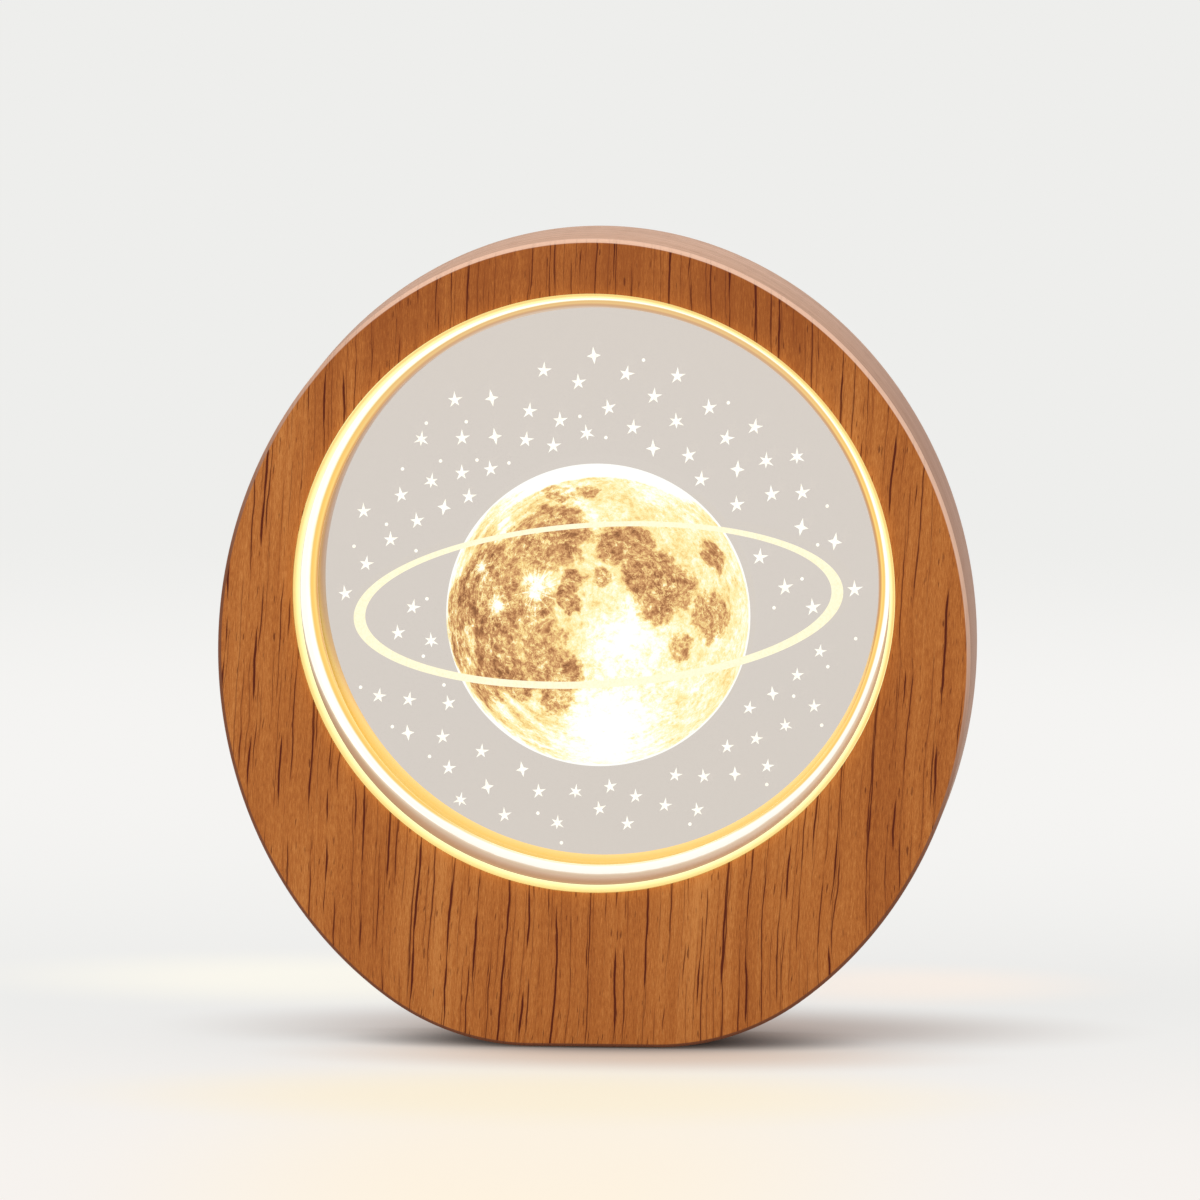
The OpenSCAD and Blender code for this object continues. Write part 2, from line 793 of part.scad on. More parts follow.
module main_board() {
    hole_w = lead_d + 2 * lead_hole_gap;
    color([0.1, 0.36, 0.2])
        difference() {
            plate(board_d, board_top_d)
                translate([0, pocket_z]) polygon(round_rect(board_w, board_h, board_round));
            for (side = [-1, 1])
                rod(side * board_screw_x, pocket_z, board_screw_d + 4 * screw_gap, 0, frame_t);
            block(battery_lead_x, pocket_z + plug_dz, hole_w, hole_w + battery_lead_pitch, 0, frame_t);
        }
}

module board_screws() {
    color([0.72, 0.72, 0.74])
        for (side = [-1, 1])
            difference() {
                union() {
                    rod(side * board_screw_x, pocket_z, board_screw_d,
                        board_top_d - board_screw_len, board_top_d + board_head_h);
                    rod(side * board_screw_x, pocket_z, board_head_d,
                        board_top_d, board_top_d + board_head_h);
                }
                block(side * board_screw_x, pocket_z, board_slot_w, board_slot_t,
                    board_top_d + board_head_h / 2, frame_t);
                block(side * board_screw_x, pocket_z, board_slot_t, board_slot_w,
                    board_top_d + board_head_h / 2, frame_t);
            }
}

// Moulded chip with a row of legs on its upper and lower side
module legged_chip(x, z, size, legs) {
    block(x, z, size[0], size[1], board_top_d + leg_t, board_top_d + size[2]);
    for (i = [0 : legs - 1], side = [-1, 1])
        block(x + (i - (legs - 1) / 2) * size[0] / legs, z + side * (size[1] + leg_out) / 2,
            leg_w, leg_out, board_top_d, board_top_d + 2 * leg_t);
}

module charge_chip() {
    color([0.13, 0.13, 0.14])
        legged_chip(charge_chip_x, pocket_z + row_dz, charge_chip_size, charge_legs);
}

module driver_chip() {
    color([0.15, 0.15, 0.16])
        legged_chip(driver_chip_x, pocket_z + row_dz, driver_chip_size, driver_legs);
}

module inductor() {
    color([0.34, 0.34, 0.35])
        difference() {
            block(inductor_x, pocket_z + row_dz, inductor_w, inductor_w,
                board_top_d, board_top_d + inductor_h);
            rod(inductor_x, pocket_z + row_dz, inductor_w * 0.7,
                board_top_d + inductor_h - leg_t, frame_t);
        }
}

// Small two-ended parts of one size, at places given from the pocket's middle
module small_parts(places, size) {
    for (p = places)
        block(p[0], pocket_z + p[1], size[0], size[1], board_top_d, board_top_d + size[2]);
}

module capacitors() {
    color([0.72, 0.58, 0.42]) small_parts(CAPACITOR_PLACES, capacitor);
}

module resistors() {
    color([0.12, 0.12, 0.13]) small_parts(RESISTOR_PLACES, resistor);
}

module indicator_led() {
    color([0.95, 0.92, 0.8])
        small_parts([[indicator_x, indicator_dz]], indicator);
}

module light_pipe() {
    color([0.92, 0.95, 0.96, 0.6]) {
        rod(indicator_x, pocket_z + indicator_dz, pipe_d,
            board_top_d + indicator[2] + indicator_gap, frame_t - flush_gap);
        rod(indicator_x, pocket_z + indicator_dz, pipe_d + 2 * pipe_flange_w,
            panel_d - pipe_flange_t, panel_d);
    }
}

// Slot with full round ends, as the charging port has, grown by a margin
module port_shape(margin) {
    translate([0, pocket_z + usb_dz])
        polygon(round_rect(port_w + 2 * margin, port_h + 2 * margin, port_h / 2 + margin - hair));
}

module usb_shell() {
    color([0.76, 0.76, 0.78])
        difference() {
            plate(board_top_d, frame_t - port_sink) port_shape(0);
            plate(board_top_d + shell_floor_t, frame_t + over) port_shape(-port_wall);
        }
}

module usb_tongue() {
    floor_d = board_top_d + shell_floor_t;
    color([0.1, 0.1, 0.1]) {
        block(0, pocket_z + usb_dz, tongue_w, tongue_t, floor_d, frame_t - port_sink - tongue_sink);
        plate(floor_d, floor_d + shell_floor_t) port_shape(-port_wall - hair);
    }
}

module port_trim() {
    color([0.16, 0.15, 0.15])
        difference() {
            union() {
                plate(panel_d, frame_t - flush_gap) port_shape(trim_rim);
                plate(frame_t - trim_lip_t, frame_t - flush_gap) port_shape(trim_rim + trim_lip_w);
            }
            plate(0, frame_t + over) port_shape(hair);
        }
}

module switch_body() {
    color([0.14, 0.14, 0.15])
        difference() {
            block(button_x, pocket_z, switch_w, switch_w, board_top_d, switch_top_d);
            rod(button_x, pocket_z, plunger_d + 2 * button_gap, board_top_d + switch_floor, frame_t);
        }
}

// The plunger ends in the button's flange, and both move together
module switch_plunger() {
    color([0.85, 0.85, 0.84])
        rod(button_x, pocket_z, plunger_d, plunger_low_d, button_flange_d);
}

module power_button() {
    color([0.2, 0.19, 0.18])
        difference() {
            union() {
                rod(button_x, pocket_z, button_d + 2 * button_flange_w,
                    button_flange_d, button_flange_d + button_flange_t);
                rod(button_x, pocket_z, button_d, button_flange_d, frame_t - button_sink);
            }
            translate([button_x, y_at(frame_t - button_sink - dish_depth) + dish_r, pocket_z])
                sphere(r = dish_r, $fn = 96);
        }
}

module button_bezel() {
    color([0.72, 0.7, 0.66])
        difference() {
            union() {
                rod(button_x, pocket_z, bezel_out_dia, bezel_in_d, frame_t - flush_gap);
                rod(button_x, pocket_z, bezel_out_dia + 2 * bezel_flange_w,
                    frame_t - bezel_flange_t, frame_t - flush_gap);
            }
            rod(button_x, pocket_z, bezel_in_dia, 0, frame_t + over);
        }
}

module battery_cell() {
    color([0.62, 0.64, 0.68])
        plate(cell_d, cell_d + cell_t)
            translate([cell_x, pocket_z]) polygon(round_rect(cell_w, cell_h, cell_round));
}

module cell_guard_board() {
    color([0.12, 0.3, 0.2])
        block(cell_x - (cell_w + guard_t) / 2, pocket_z, guard_t, cell_h - 2 * guard_inset,
            cell_d + guard_inset, cell_d + cell_t - guard_inset);
}

module cell_tape() {
    color([0.3, 0.3, 0.32])
        block(cell_x, pocket_z, cell_w - 2 * tape_inset, cell_h - 2 * tape_inset, well_d, cell_d);
}

// Two leads from the cell, through the board's hole and into the plug
module battery_leads() {
    low_d = cell_d + cell_t / 2;
    high_d = board_top_d + plug_h / 2;
    start_x = cell_x - cell_w / 2 - guard_t;
    color([0.72, 0.14, 0.1])
        for (side = [-1, 1])
            let (z = pocket_z + plug_dz + side * battery_lead_pitch / 2)
            lead_run([
                [start_x, low_d, z], [battery_lead_x, low_d, z],
                [battery_lead_x, high_d, z], [plug_x, high_d, z]
            ]);
}

module battery_plug() {
    plug_reach = plug_l + plug_in;
    color([0.93, 0.92, 0.88])
        block(plug_x + plug_reach / 2, pocket_z + plug_dz,
            plug_reach, plug_w - 2 * (header_wall + hair),
            board_top_d + header_wall, board_top_d + plug_h - header_wall);
}

module battery_header() {
    color([0.96, 0.95, 0.9])
        difference() {
            block(plug_x + plug_l + header_l / 2, pocket_z + plug_dz, header_l, plug_w,
                board_top_d, board_top_d + plug_h);
            block(plug_x + plug_l + (header_l - header_wall) / 2 - over, pocket_z + plug_dz,
                header_l - header_wall + over, plug_w - 2 * header_wall,
                board_top_d + header_wall - hair, board_top_d + plug_h - header_wall + hair);
        }
}

frame_core();
front_veneer();
edge_band();
back_panel();
cover_screws();
foot_pads();
lip_ring();
sleeve_ring();
diffuser_ring();
rear_ring();
front_gasket();
rear_gasket();
crystal_disc();
moon_lands();
moon_seas();
orbit_line();
star_field();
led_strip();
led_chips();
led_leads();
main_board();
board_screws();
charge_chip();
driver_chip();
inductor();
capacitors();
resistors();
indicator_led();
light_pipe();
usb_shell();
usb_tongue();
port_trim();
switch_body();
switch_plunger();
power_button();
button_bezel();
battery_cell();
cell_guard_board();
cell_tape();
battery_leads();
battery_plug();
battery_header();
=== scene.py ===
"""The looks of the crystal night light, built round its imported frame.

Sizes are in millimetres. Depths run from the front face to the back, and every place is
turned into the frame's metres by the function at(). X points right, Y back and Z up.
"""

import logging
import math
from dataclasses import dataclass
from enum import Enum
from typing import Any, Callable, ClassVar, Sequence, TypeAlias

import bmesh
import bpy
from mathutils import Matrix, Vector


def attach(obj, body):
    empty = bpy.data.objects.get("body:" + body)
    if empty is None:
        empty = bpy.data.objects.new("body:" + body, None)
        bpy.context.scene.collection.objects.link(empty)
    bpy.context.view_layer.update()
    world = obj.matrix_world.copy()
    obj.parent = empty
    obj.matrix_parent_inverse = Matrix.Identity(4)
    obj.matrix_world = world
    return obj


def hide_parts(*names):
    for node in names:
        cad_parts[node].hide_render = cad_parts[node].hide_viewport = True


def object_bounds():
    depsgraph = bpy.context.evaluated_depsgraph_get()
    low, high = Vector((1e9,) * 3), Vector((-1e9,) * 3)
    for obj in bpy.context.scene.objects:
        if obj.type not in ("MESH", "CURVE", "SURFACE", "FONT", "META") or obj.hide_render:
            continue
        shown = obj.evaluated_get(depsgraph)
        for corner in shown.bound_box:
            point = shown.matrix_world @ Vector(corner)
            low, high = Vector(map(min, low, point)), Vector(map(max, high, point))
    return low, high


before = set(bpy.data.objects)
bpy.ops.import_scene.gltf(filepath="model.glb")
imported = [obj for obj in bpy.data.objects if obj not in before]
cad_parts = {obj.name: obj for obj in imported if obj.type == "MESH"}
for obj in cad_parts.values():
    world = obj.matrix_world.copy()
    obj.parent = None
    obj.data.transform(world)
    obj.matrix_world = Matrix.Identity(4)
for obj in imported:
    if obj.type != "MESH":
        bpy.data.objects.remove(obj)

CAD_LOW, CAD_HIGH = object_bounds()
MM = 0.001
WELD = MM / 500
SAME_PLACE = MM / 1000
SAME_HEIGHT = MM / 200
SAME_DEPTH = MM / 100
FULL_TURN = 2 * math.pi
LAMP_BODY = "lamp"
BUTTON_BODY = "button"

log = logging.getLogger("night_light")

Colour: TypeAlias = tuple[float, float, float]
Section: TypeAlias = Sequence[tuple[float, float]]
Number: TypeAlias = "Signal | float"

BLACK: Colour = (0.0, 0.0, 0.0)
BRIGHTEST = 255
# The display's curve: end and slope of its straight part, offset and power of the rest
CURVE_END, CURVE_SLOPE, CURVE_OFFSET, CURVE_POWER = 0.04045, 12.92, 0.055, 2.4


def at(x: float, depth: float, z: float) -> Vector:
    """Turns X, the depth behind the front face and the height, in millimetres, into the frame's metres."""
    return Vector((x * MM, CAD_LOW.y + depth * MM, z * MM))


def tone(red: int, green: int, blue: int) -> Colour:
    """Turns display values from 0 to 255 into a linear colour.

    Args:
        red: Display value of red.
        green: Display value of green.
        blue: Display value of blue.

    Returns:
        The colour as the shaders want it.
    """
    shares = (value / BRIGHTEST for value in (red, green, blue))
    return tuple(share / CURVE_SLOPE if share <= CURVE_END
                 else ((share + CURVE_OFFSET) / (1 + CURVE_OFFSET)) ** CURVE_POWER for share in shares)


def label(piece: bpy.types.Object, name: str) -> None:
    """Names an object and its mesh."""
    piece.name = name
    piece.data.name = name


def choose(*pieces: bpy.types.Object) -> None:
    """Selects only these objects and makes the first one active.

    Args:
        *pieces: The objects.
    """
    bpy.ops.object.select_all(action="DESELECT")
    for piece in pieces:
        piece.select_set(True)
    bpy.context.view_layer.objects.active = pieces[0]


class Sel(Enum):
    """What a selection picks."""

    VERTS = "VERT"
    EDGES = "EDGE"
    FACES = "FACE"


class Shaping:
    """One mesh piece while it is modelled with Blender's own tools."""

    def __init__(self, name: str) -> None:
        """Keeps the piece's name until its first primitive is added."""
        self.name = name
        self.piece: bpy.types.Object | None = None

    def _begin(self) -> None:
        """Leaves edit mode and deselects everything."""
        if bpy.context.object and bpy.context.object.mode == "EDIT":
            bpy.ops.object.mode_set(mode="OBJECT")
        bpy.ops.object.select_all(action="DESELECT")

    def _take(self) -> None:
        """Names the new primitive, sets its object to the origin and opens it for editing."""
        self.piece = bpy.context.object
        label(self.piece, self.name)
        bpy.ops.object.transform_apply(location=True, rotation=True, scale=True)
        bpy.ops.object.mode_set(mode="EDIT")
        bpy.ops.mesh.select_mode(type=Sel.VERTS.value)
        self.select_all()

    def start_ring(self, x: float, depth: float, z: float, radius: float, sides: int) -> None:
        """Adds a circle that faces along Y.

        Args:
            x: Centre along X.
            depth: Depth of the circle.
            z: Height of its centre.
            radius: Radius.
            sides: Number of points.
        """
        self._begin()
        bpy.ops.mesh.primitive_circle_add(vertices=sides, radius=radius * MM, fill_type="NOTHING",
                                          location=at(x, depth, z), rotation=(math.pi / 2, 0, 0))
        self._take()

    def start_point(self, x: float, depth: float, z: float) -> None:
        """Adds a single point, made from a small plane that is merged.

        Args:
            x: Place along X.
            depth: Depth of the point.
            z: Its height.
        """
        self._begin()
        bpy.ops.mesh.primitive_plane_add(size=MM, location=at(x, depth, z))
        self._take()
        bpy.ops.mesh.merge(type="CENTER")

    def start_block(self, x: float, depths: tuple[float, float], z: float, size: tuple[float, float]) -> None:
        """Adds a box between two depths.

        Args:
            x: Middle along X.
            depths: Front and back of the box.
            z: Middle along Z.
            size: Width and height.
        """
        self._begin()
        middle = at(x, sum(depths) / 2, z)
        scale = (size[0] * MM, (depths[1] - depths[0]) * MM, size[1] * MM)
        bpy.ops.mesh.primitive_cube_add(size=1, location=middle, scale=scale)
        self._take()

    def select_all(self) -> None:
        """Selects the whole mesh."""
        bpy.ops.mesh.select_all(action="SELECT")

    def pick(self, test: Callable[[Vector], bool], kind: Sel = Sel.VERTS) -> None:
        """Selects what has all its corners where a test says yes.

        Args:
            test: Takes a corner's place in metres and says whether it counts.
            kind: Whether vertices, edges or faces are picked.
        """
        bpy.ops.mesh.select_mode(type=kind.value)
        bpy.ops.mesh.select_all(action="DESELECT")
        mesh = bmesh.from_edit_mesh(self.piece.data)
        if kind is Sel.VERTS:
            chosen = [v for v in mesh.verts if test(v.co)]
        else:
            items = mesh.edges if kind is Sel.EDGES else mesh.faces
            chosen = [item for item in items if all(test(v.co) for v in item.verts)]
        for item in chosen:
            item.select_set(True)
        mesh.select_flush_mode()
        bmesh.update_edit_mesh(self.piece.data)

    def extrude_point(self, move: Vector) -> None:
        """Draws an edge from the selected point."""
        bpy.ops.mesh.extrude_vertices_move(TRANSFORM_OT_translate={"value": move})

    def fill(self) -> None:
        """Fills the closed outline with one face."""
        self.select_all()
        bpy.ops.mesh.edge_face_add()

    def stretch(self, x: float, z: float, centre: Vector) -> None:
        """Stretches what is selected by a factor along X and along Z about a centre."""
        bpy.ops.transform.resize(value=(x, 1, z), center_override=centre)

    def thicken(self, depth: float) -> None:
        """Draws the flat sheet backwards into a plate.

        Args:
            depth: Thickness of the plate in millimetres.
        """
        self.select_all()
        bpy.ops.mesh.extrude_region_move(TRANSFORM_OT_translate={"value": Vector((0, depth * MM, 0))})
        self.tidy()

    def bevel(self, width: float, segments: int) -> None:
        """Rounds the selected edges by a width in millimetres, in a number of strips."""
        bpy.ops.mesh.bevel(offset=width * MM, segments=segments, affect="EDGES", clamp_overlap=True)

    def tidy(self) -> None:
        """Merges doubles and turns all faces outwards."""
        bpy.ops.mesh.select_mode(type=Sel.VERTS.value)
        self.select_all()
        bpy.ops.mesh.remove_doubles(threshold=WELD)
        bpy.ops.mesh.normals_make_consistent(inside=False)

    def turn(self, section: Section, x: float, z: float, steps: int) -> None:
        """Spins a closed section round an axis along Y.

        Args:
            section: Radius and depth of each corner. A section that reaches the axis starts
                and ends there.
            x: Place of the axis along X.
            z: Height of the axis.
            steps: Number of steps of the spin.
        """
        places = [at(x + radius, depth, z) for radius, depth in section]
        self.start_point(x + section[0][0], section[0][1], z)
        for before, after in zip(places, places[1:]):
            self.extrude_point(after - before)
        if section[0][0] > 0:
            ends = (places[0], places[-1])
            self.pick(lambda p: min((p - end).length for end in ends) < SAME_PLACE)
            bpy.ops.mesh.edge_face_add()
        self.select_all()
        bpy.ops.mesh.spin(steps=steps, angle=FULL_TURN, center=at(x, 0, z), axis=(0, 1, 0))
        self.tidy()

    def close(self) -> bpy.types.Object:
        """Leaves edit mode.

        Returns:
            The piece, selected and active.
        """
        self._begin()
        choose(self.piece)
        return self.piece

    def apply(self, kind: str, **settings: Any) -> None:
        """Adds a modifier and applies it.

        Args:
            kind: The modifier's type.
            **settings: Its settings.
        """
        piece = self.close()
        modifier = piece.modifiers.new(kind.title(), kind)
        for key, value in settings.items():
            setattr(modifier, key, value)
        bpy.ops.object.modifier_apply(modifier=modifier.name)

    def soften(self, width: float, segments: int = 2, angle: float = 30) -> None:
        """Rounds edges sharper than some degrees by a width in millimetres, in a number of strips."""
        self.apply("BEVEL", width=width * MM, segments=segments, limit_method="ANGLE",
                   angle_limit=math.radians(angle), use_clamp_overlap=True)

    def cut(self, other: bpy.types.Object, operation: str = "DIFFERENCE") -> None:
        """Cuts another object out of the piece, or unites both, and removes that object."""
        self.apply("BOOLEAN", operation=operation, solver="EXACT", object=other)
        bpy.data.objects.remove(other)

    def smooth(self, angle: float = 30) -> bpy.types.Object:
        """Shades the finished piece smooth.

        Args:
            angle: Edges sharper than this many degrees stay sharp.

        Returns:
            The piece.
        """
        piece = self.close()
        bpy.ops.object.shade_smooth_by_angle(angle=math.radians(angle))
        return piece


def turned_cutter(name: str, section: Section, x: float, z: float, steps: int) -> bpy.types.Object:
    """Spins a cutter whose ends are closed at the axis.

    Args:
        name: Name of the cutter.
        section: Radius and depth of each corner, from the front to the back.
        x: Place of the axis along X.
        z: Height of the axis.
        steps: Number of steps of the spin.

    Returns:
        The cutter.
    """
    shape = Shaping(name)
    shape.turn([(0, section[0][1]), *section, (0, section[-1][1])], x, z, steps)
    return shape.close()


def join(name: str, parts: Sequence[bpy.types.Object]) -> bpy.types.Object:
    """Joins several objects into one.

    Args:
        name: Name of the joined piece.
        parts: The objects.

    Returns:
        The joined piece.
    """
    choose(*parts)
    bpy.ops.object.join()
    label(parts[0], name)
    return parts[0]


def copy_to(source: bpy.types.Object, name: str, move: Vector) -> bpy.types.Object:
    """Copies a piece with its own mesh and moves the copy's mesh.

    Args:
        source: The piece to copy.
        name: Name of the copy.
        move: The move in metres.

    Returns:
        The copy.
    """
    choose(source)
    bpy.ops.object.duplicate(linked=False)
    made = bpy.context.object
    label(made, name)
    bpy.ops.transform.translate(value=move)
    bpy.ops.object.transform_apply(location=True, rotation=False, scale=False)
    return made


class Signal:
    """An output of one tree's nodes, with arithmetic on its number."""

    def __init__(self, bench: "NodeBench", socket: bpy.types.NodeSocket) -> None:
        """Wraps a socket."""
        self.bench = bench
        self.socket = socket

    def math(self, operation: str, *others: Number, clamp: bool = False) -> "Signal":
        """Adds a Math node that starts from this number and takes the others after it."""
        return self.bench.math(operation, self, *others, clamp=clamp)

    def __add__(self, other: Number) -> "Signal":
        """Sum."""
        return self.math("ADD", other)

    def __radd__(self, other: float) -> "Signal":
        """Sum, with the number first."""
        return self.bench.math("ADD", other, self)

    def __sub__(self, other: Number) -> "Signal":
        """Difference."""
        return self.math("SUBTRACT", other)

    def __rsub__(self, other: float) -> "Signal":
        """Difference, with the number first."""
        return self.bench.math("SUBTRACT", other, self)

    def __mul__(self, other: Number) -> "Signal":
        """Product."""
        return self.math("MULTIPLY", other)

    def __rmul__(self, other: float) -> "Signal":
        """Product, with the number first."""
        return self.bench.math("MULTIPLY", other, self)

    def __truediv__(self, other: Number) -> "Signal":
        """Quotient."""
        return self.math("DIVIDE", other)

    def __rtruediv__(self, other: float) -> "Signal":
        """Quotient, with the number first."""
        return self.bench.math("DIVIDE", other, self)

    def __abs__(self) -> "Signal":
        """Size without its sign."""
        return self.math("ABSOLUTE")

    def most(self, other: Number) -> "Signal":
        """The greater of two numbers."""
        return self.math("MAXIMUM", other)

    def clamp(self) -> "Signal":
        """Keeps the number between 0 and 1."""
        return self.math("ADD", 0.0, clamp=True)

    def ease(self, low: float, high: float, low_to: float = 0.0, high_to: float = 1.0) -> "Signal":
        """Moves smoothly from one value to another between two limits.

        Args:
            low: Where the change starts.
            high: Where it ends.
            low_to: The value up to low.
            high_to: The value from high on.

        Returns:
            The eased number.
        """
        if low > high:
            low, high, low_to, high_to = high, low, high_to, low_to
        values = {"Value": self, "From Min": low, "From Max": high, "To Min": low_to, "To Max": high_to}
        return self.bench.signal("ShaderNodeMapRange", "Result", {"interpolation_type": "SMOOTHSTEP"}, values)


class NodeBench:
    """Builds the nodes of a material or a world."""

    # Numbers of the Mix node's sockets for colours: share, first, second, and the output
    MIX_SHARE, MIX_FIRST, MIX_SECOND, MIX_RESULT = 0, 6, 7, 2

    def __init__(self, owner: bpy.types.Material | bpy.types.World) -> None:
        """Starts with an empty tree.

        Args:
            owner: The material or world.
        """
        owner.use_nodes = True
        self.owner = owner
        self.tree = owner.node_tree
        self.tree.nodes.clear()

    def node(self, kind: str, settings: dict[str, Any] | None = None,
             values: dict[str | int, Any] | None = None) -> bpy.types.Node:
        """Makes any node.

        Args:
            kind: The node's type.
            settings: Its settings. The key stops fills a colour ramp.
            values: Value or link of each socket, by name or number.

        Returns:
            The node.
        """
        made = self.tree.nodes.new(kind)
        for key, value in (settings or {}).items():
            if key == "stops":
                self._fill_ramp(made.color_ramp, value)
            else:
                setattr(made, key, value)
        for key, value in (values or {}).items():
            self._plug(value, made.inputs[key])
        return made

    def signal(self, kind: str, output: str | int, settings: dict[str, Any] | None = None,
               values: dict[str | int, Any] | None = None) -> Signal:
        """Makes a node as node() does and gives one of its outputs, by name or number."""
        return Signal(self, self.node(kind, settings, values).outputs[output])

    def _fill_ramp(self, ramp: bpy.types.ColorRamp, stops: Sequence[tuple[float, Colour]]) -> None:
        """Sets the stops of a colour ramp.

        Args:
            ramp: The ramp.
            stops: Place and colour of each stop.
        """
        while len(ramp.elements) < len(stops):
            ramp.elements.new(1.0)
        for element, (position, colour) in zip(ramp.elements, stops):
            element.position = position
            element.color = (*colour, 1.0)

    def _plug(self, value: Any, socket: bpy.types.NodeSocket) -> None:
        """Links or sets a socket.

        Args:
            value: A signal or an output to link, or a plain value.
            socket: The socket.
        """
        if isinstance(value, Signal):
            value = value.socket
        if isinstance(value, bpy.types.NodeSocket):
            self.tree.links.new(value, socket)
        elif socket.type == "RGBA":
            socket.default_value = (*value, 1.0)
        else:
            socket.default_value = value

    def math(self, operation: str, *numbers: Number, clamp: bool = False) -> Signal:
        """Adds a Math node, whose result may be kept between 0 and 1."""
        settings = {"operation": operation, "use_clamp": clamp}
        return self.signal("ShaderNodeMath", 0, settings, dict(enumerate(numbers)))

    def vector(self, x: Number, y: Number, z: Number) -> Signal:
        """Makes a vector of three numbers."""
        return self.signal("ShaderNodeCombineXYZ", 0, None, {0: x, 1: y, 2: z})

    def vector_math(self, operation: str, *values: Any, result: str = "Vector") -> Signal:
        """Adds a Vector Math node and gives the output of the wanted name."""
        return self.signal("ShaderNodeVectorMath", result, {"operation": operation}, dict(enumerate(values)))

    def length(self, across: Number, up: Number) -> Signal:
        """How far apart two places are, given their distances across and up."""
        return self.vector_math("LENGTH", self.vector(across, 0.0, up), result="Value")

    def noise(self, where: Signal, scale: float, detail: float = 3.0, roughness: float = 0.55,
              distortion: float = 0.0, result: str = "Fac") -> Signal:
        """Adds noise.

        Args:
            where: The vector that it reads.
            scale: Its scale.
            detail: Number of finer layers.
            roughness: Strength of the finer layers.
            distortion: How far it is warped.
            result: Fac for one number, Color for three.

        Returns:
            The noise, from 0 to 1.
        """
        values = {"Vector": where, "Scale": scale, "Detail": detail, "Roughness": roughness,
                  "Distortion": distortion}
        return self.signal("ShaderNodeTexNoise", result, None, values)

    def ripple(self, where: Signal, scale: float, detail: float = 3.0, roughness: float = 0.55) -> Signal:
        """Adds noise that swings about zero, from -0.5 to 0.5."""
        return self.noise(where, scale, detail, roughness) - 0.5

    def cells(self, where: Signal, scale: float) -> Signal:
        """Adds a pattern of cells and gives the distance to the nearest one's middle."""
        return self.signal("ShaderNodeTexVoronoi", "Distance", None, {"Vector": where, "Scale": scale})

    def chance(self, number: Signal) -> Signal:
        """A random share for each value of a number."""
        return self.signal("ShaderNodeTexWhiteNoise", "Value", {"noise_dimensions": "1D"}, {"W": number})

    def ramp(self, number: Signal, *stops: tuple[float, Colour]) -> Signal:
        """Turns a number into a colour by stops of place and colour."""
        return self.signal("ShaderNodeValToRGB", "Color", {"stops": stops}, {0: number})

    def mix(self, share: Number, first: Any, second: Any) -> Signal:
        """Mixes two colours, by the share of the second."""
        values = {self.MIX_SHARE: share, self.MIX_FIRST: first, self.MIX_SECOND: second}
        return self.signal("ShaderNodeMix", self.MIX_RESULT, {"data_type": "RGBA"}, values)

    def seen(self) -> Signal:
        """Tells what the eye sees, directly, mirrored or through glass, from what only gives light.

        Returns:
            1 for a ray that is seen, otherwise 0.
        """
        rays = self.node("ShaderNodeLightPath").outputs
        camera, glossy, through = (Signal(self, rays[f"Is {kind} Ray"])
                                   for kind in ("Camera", "Glossy", "Transmission"))
        return camera.most(glossy).most(through)

    def either(self, share: Number, first: bpy.types.Node, second: bpy.types.Node) -> bpy.types.NodeSocket:
        """Mixes two shaders, by the share of the second."""
        values = {0: share, 1: first.outputs[0], 2: second.outputs[0]}
        return self.node("ShaderNodeMixShader", None, values).outputs[0]

    def close(self, kind: str, shader: bpy.types.NodeSocket) -> Any:
        """Adds the output node, links the shader to it and gives the material or world."""
        self.node(kind, None, {"Surface": shader})
        return self.owner


class MaterialBench(NodeBench):
    """Builds the nodes of one material, with the place on the object at hand in millimetres."""

    def __init__(self, name: str) -> None:
        """Starts an empty material.

        Args:
            name: Its name.
        """
        super().__init__(bpy.data.materials.new(name))
        coordinates = self.node("ShaderNodeTexCoord").outputs["Object"]
        values = {0: coordinates, "Scale": 1 / MM}
        self.place = self.signal("ShaderNodeVectorMath", "Vector", {"operation": "SCALE"}, values)
        axes = self.node("ShaderNodeSeparateXYZ", None, {0: self.place}).outputs
        self.x, self.y, self.z = (Signal(self, axis) for axis in axes)
        self.depth = self.y - CAD_LOW.y / MM

    def stretched(self, x: float, y: float, z: float) -> Signal:
        """The place with each direction multiplied by a factor."""
        return self.vector_math("MULTIPLY", self.place, (x, y, z))

    def bump(self, height: Signal, depth: float, strength: float) -> Signal:
        """Turns a height from 0 to 1 into a normal, by its full depth in millimetres and a strength."""
        values = {"Height": height, "Distance": depth * MM, "Strength": strength}
        return self.signal("ShaderNodeBump", "Normal", None, values)

    def finish(self, **sockets: Any) -> bpy.types.Material:
        """Adds the surface shader.

        Args:
            **sockets: Its sockets, with underscores for spaces.

        Returns:
            The material.
        """
        values = {key.replace("_", " "): value for key, value in sockets.items()}
        shader = self.node("ShaderNodeBsdfPrincipled", None, values)
        return self.close("ShaderNodeOutputMaterial", shader.outputs["BSDF"])

    def glow(self, light: Signal, strength: float, dark: float, **sockets: Any) -> bpy.types.Material:
        """Adds the surface shader of a thing lit from within, whose own colour is its light, darkened."""
        body = self.mix(dark, light, BLACK)
        return self.finish(Base_Color=body, Emission_Color=light, Emission_Strength=strength, **sockets)


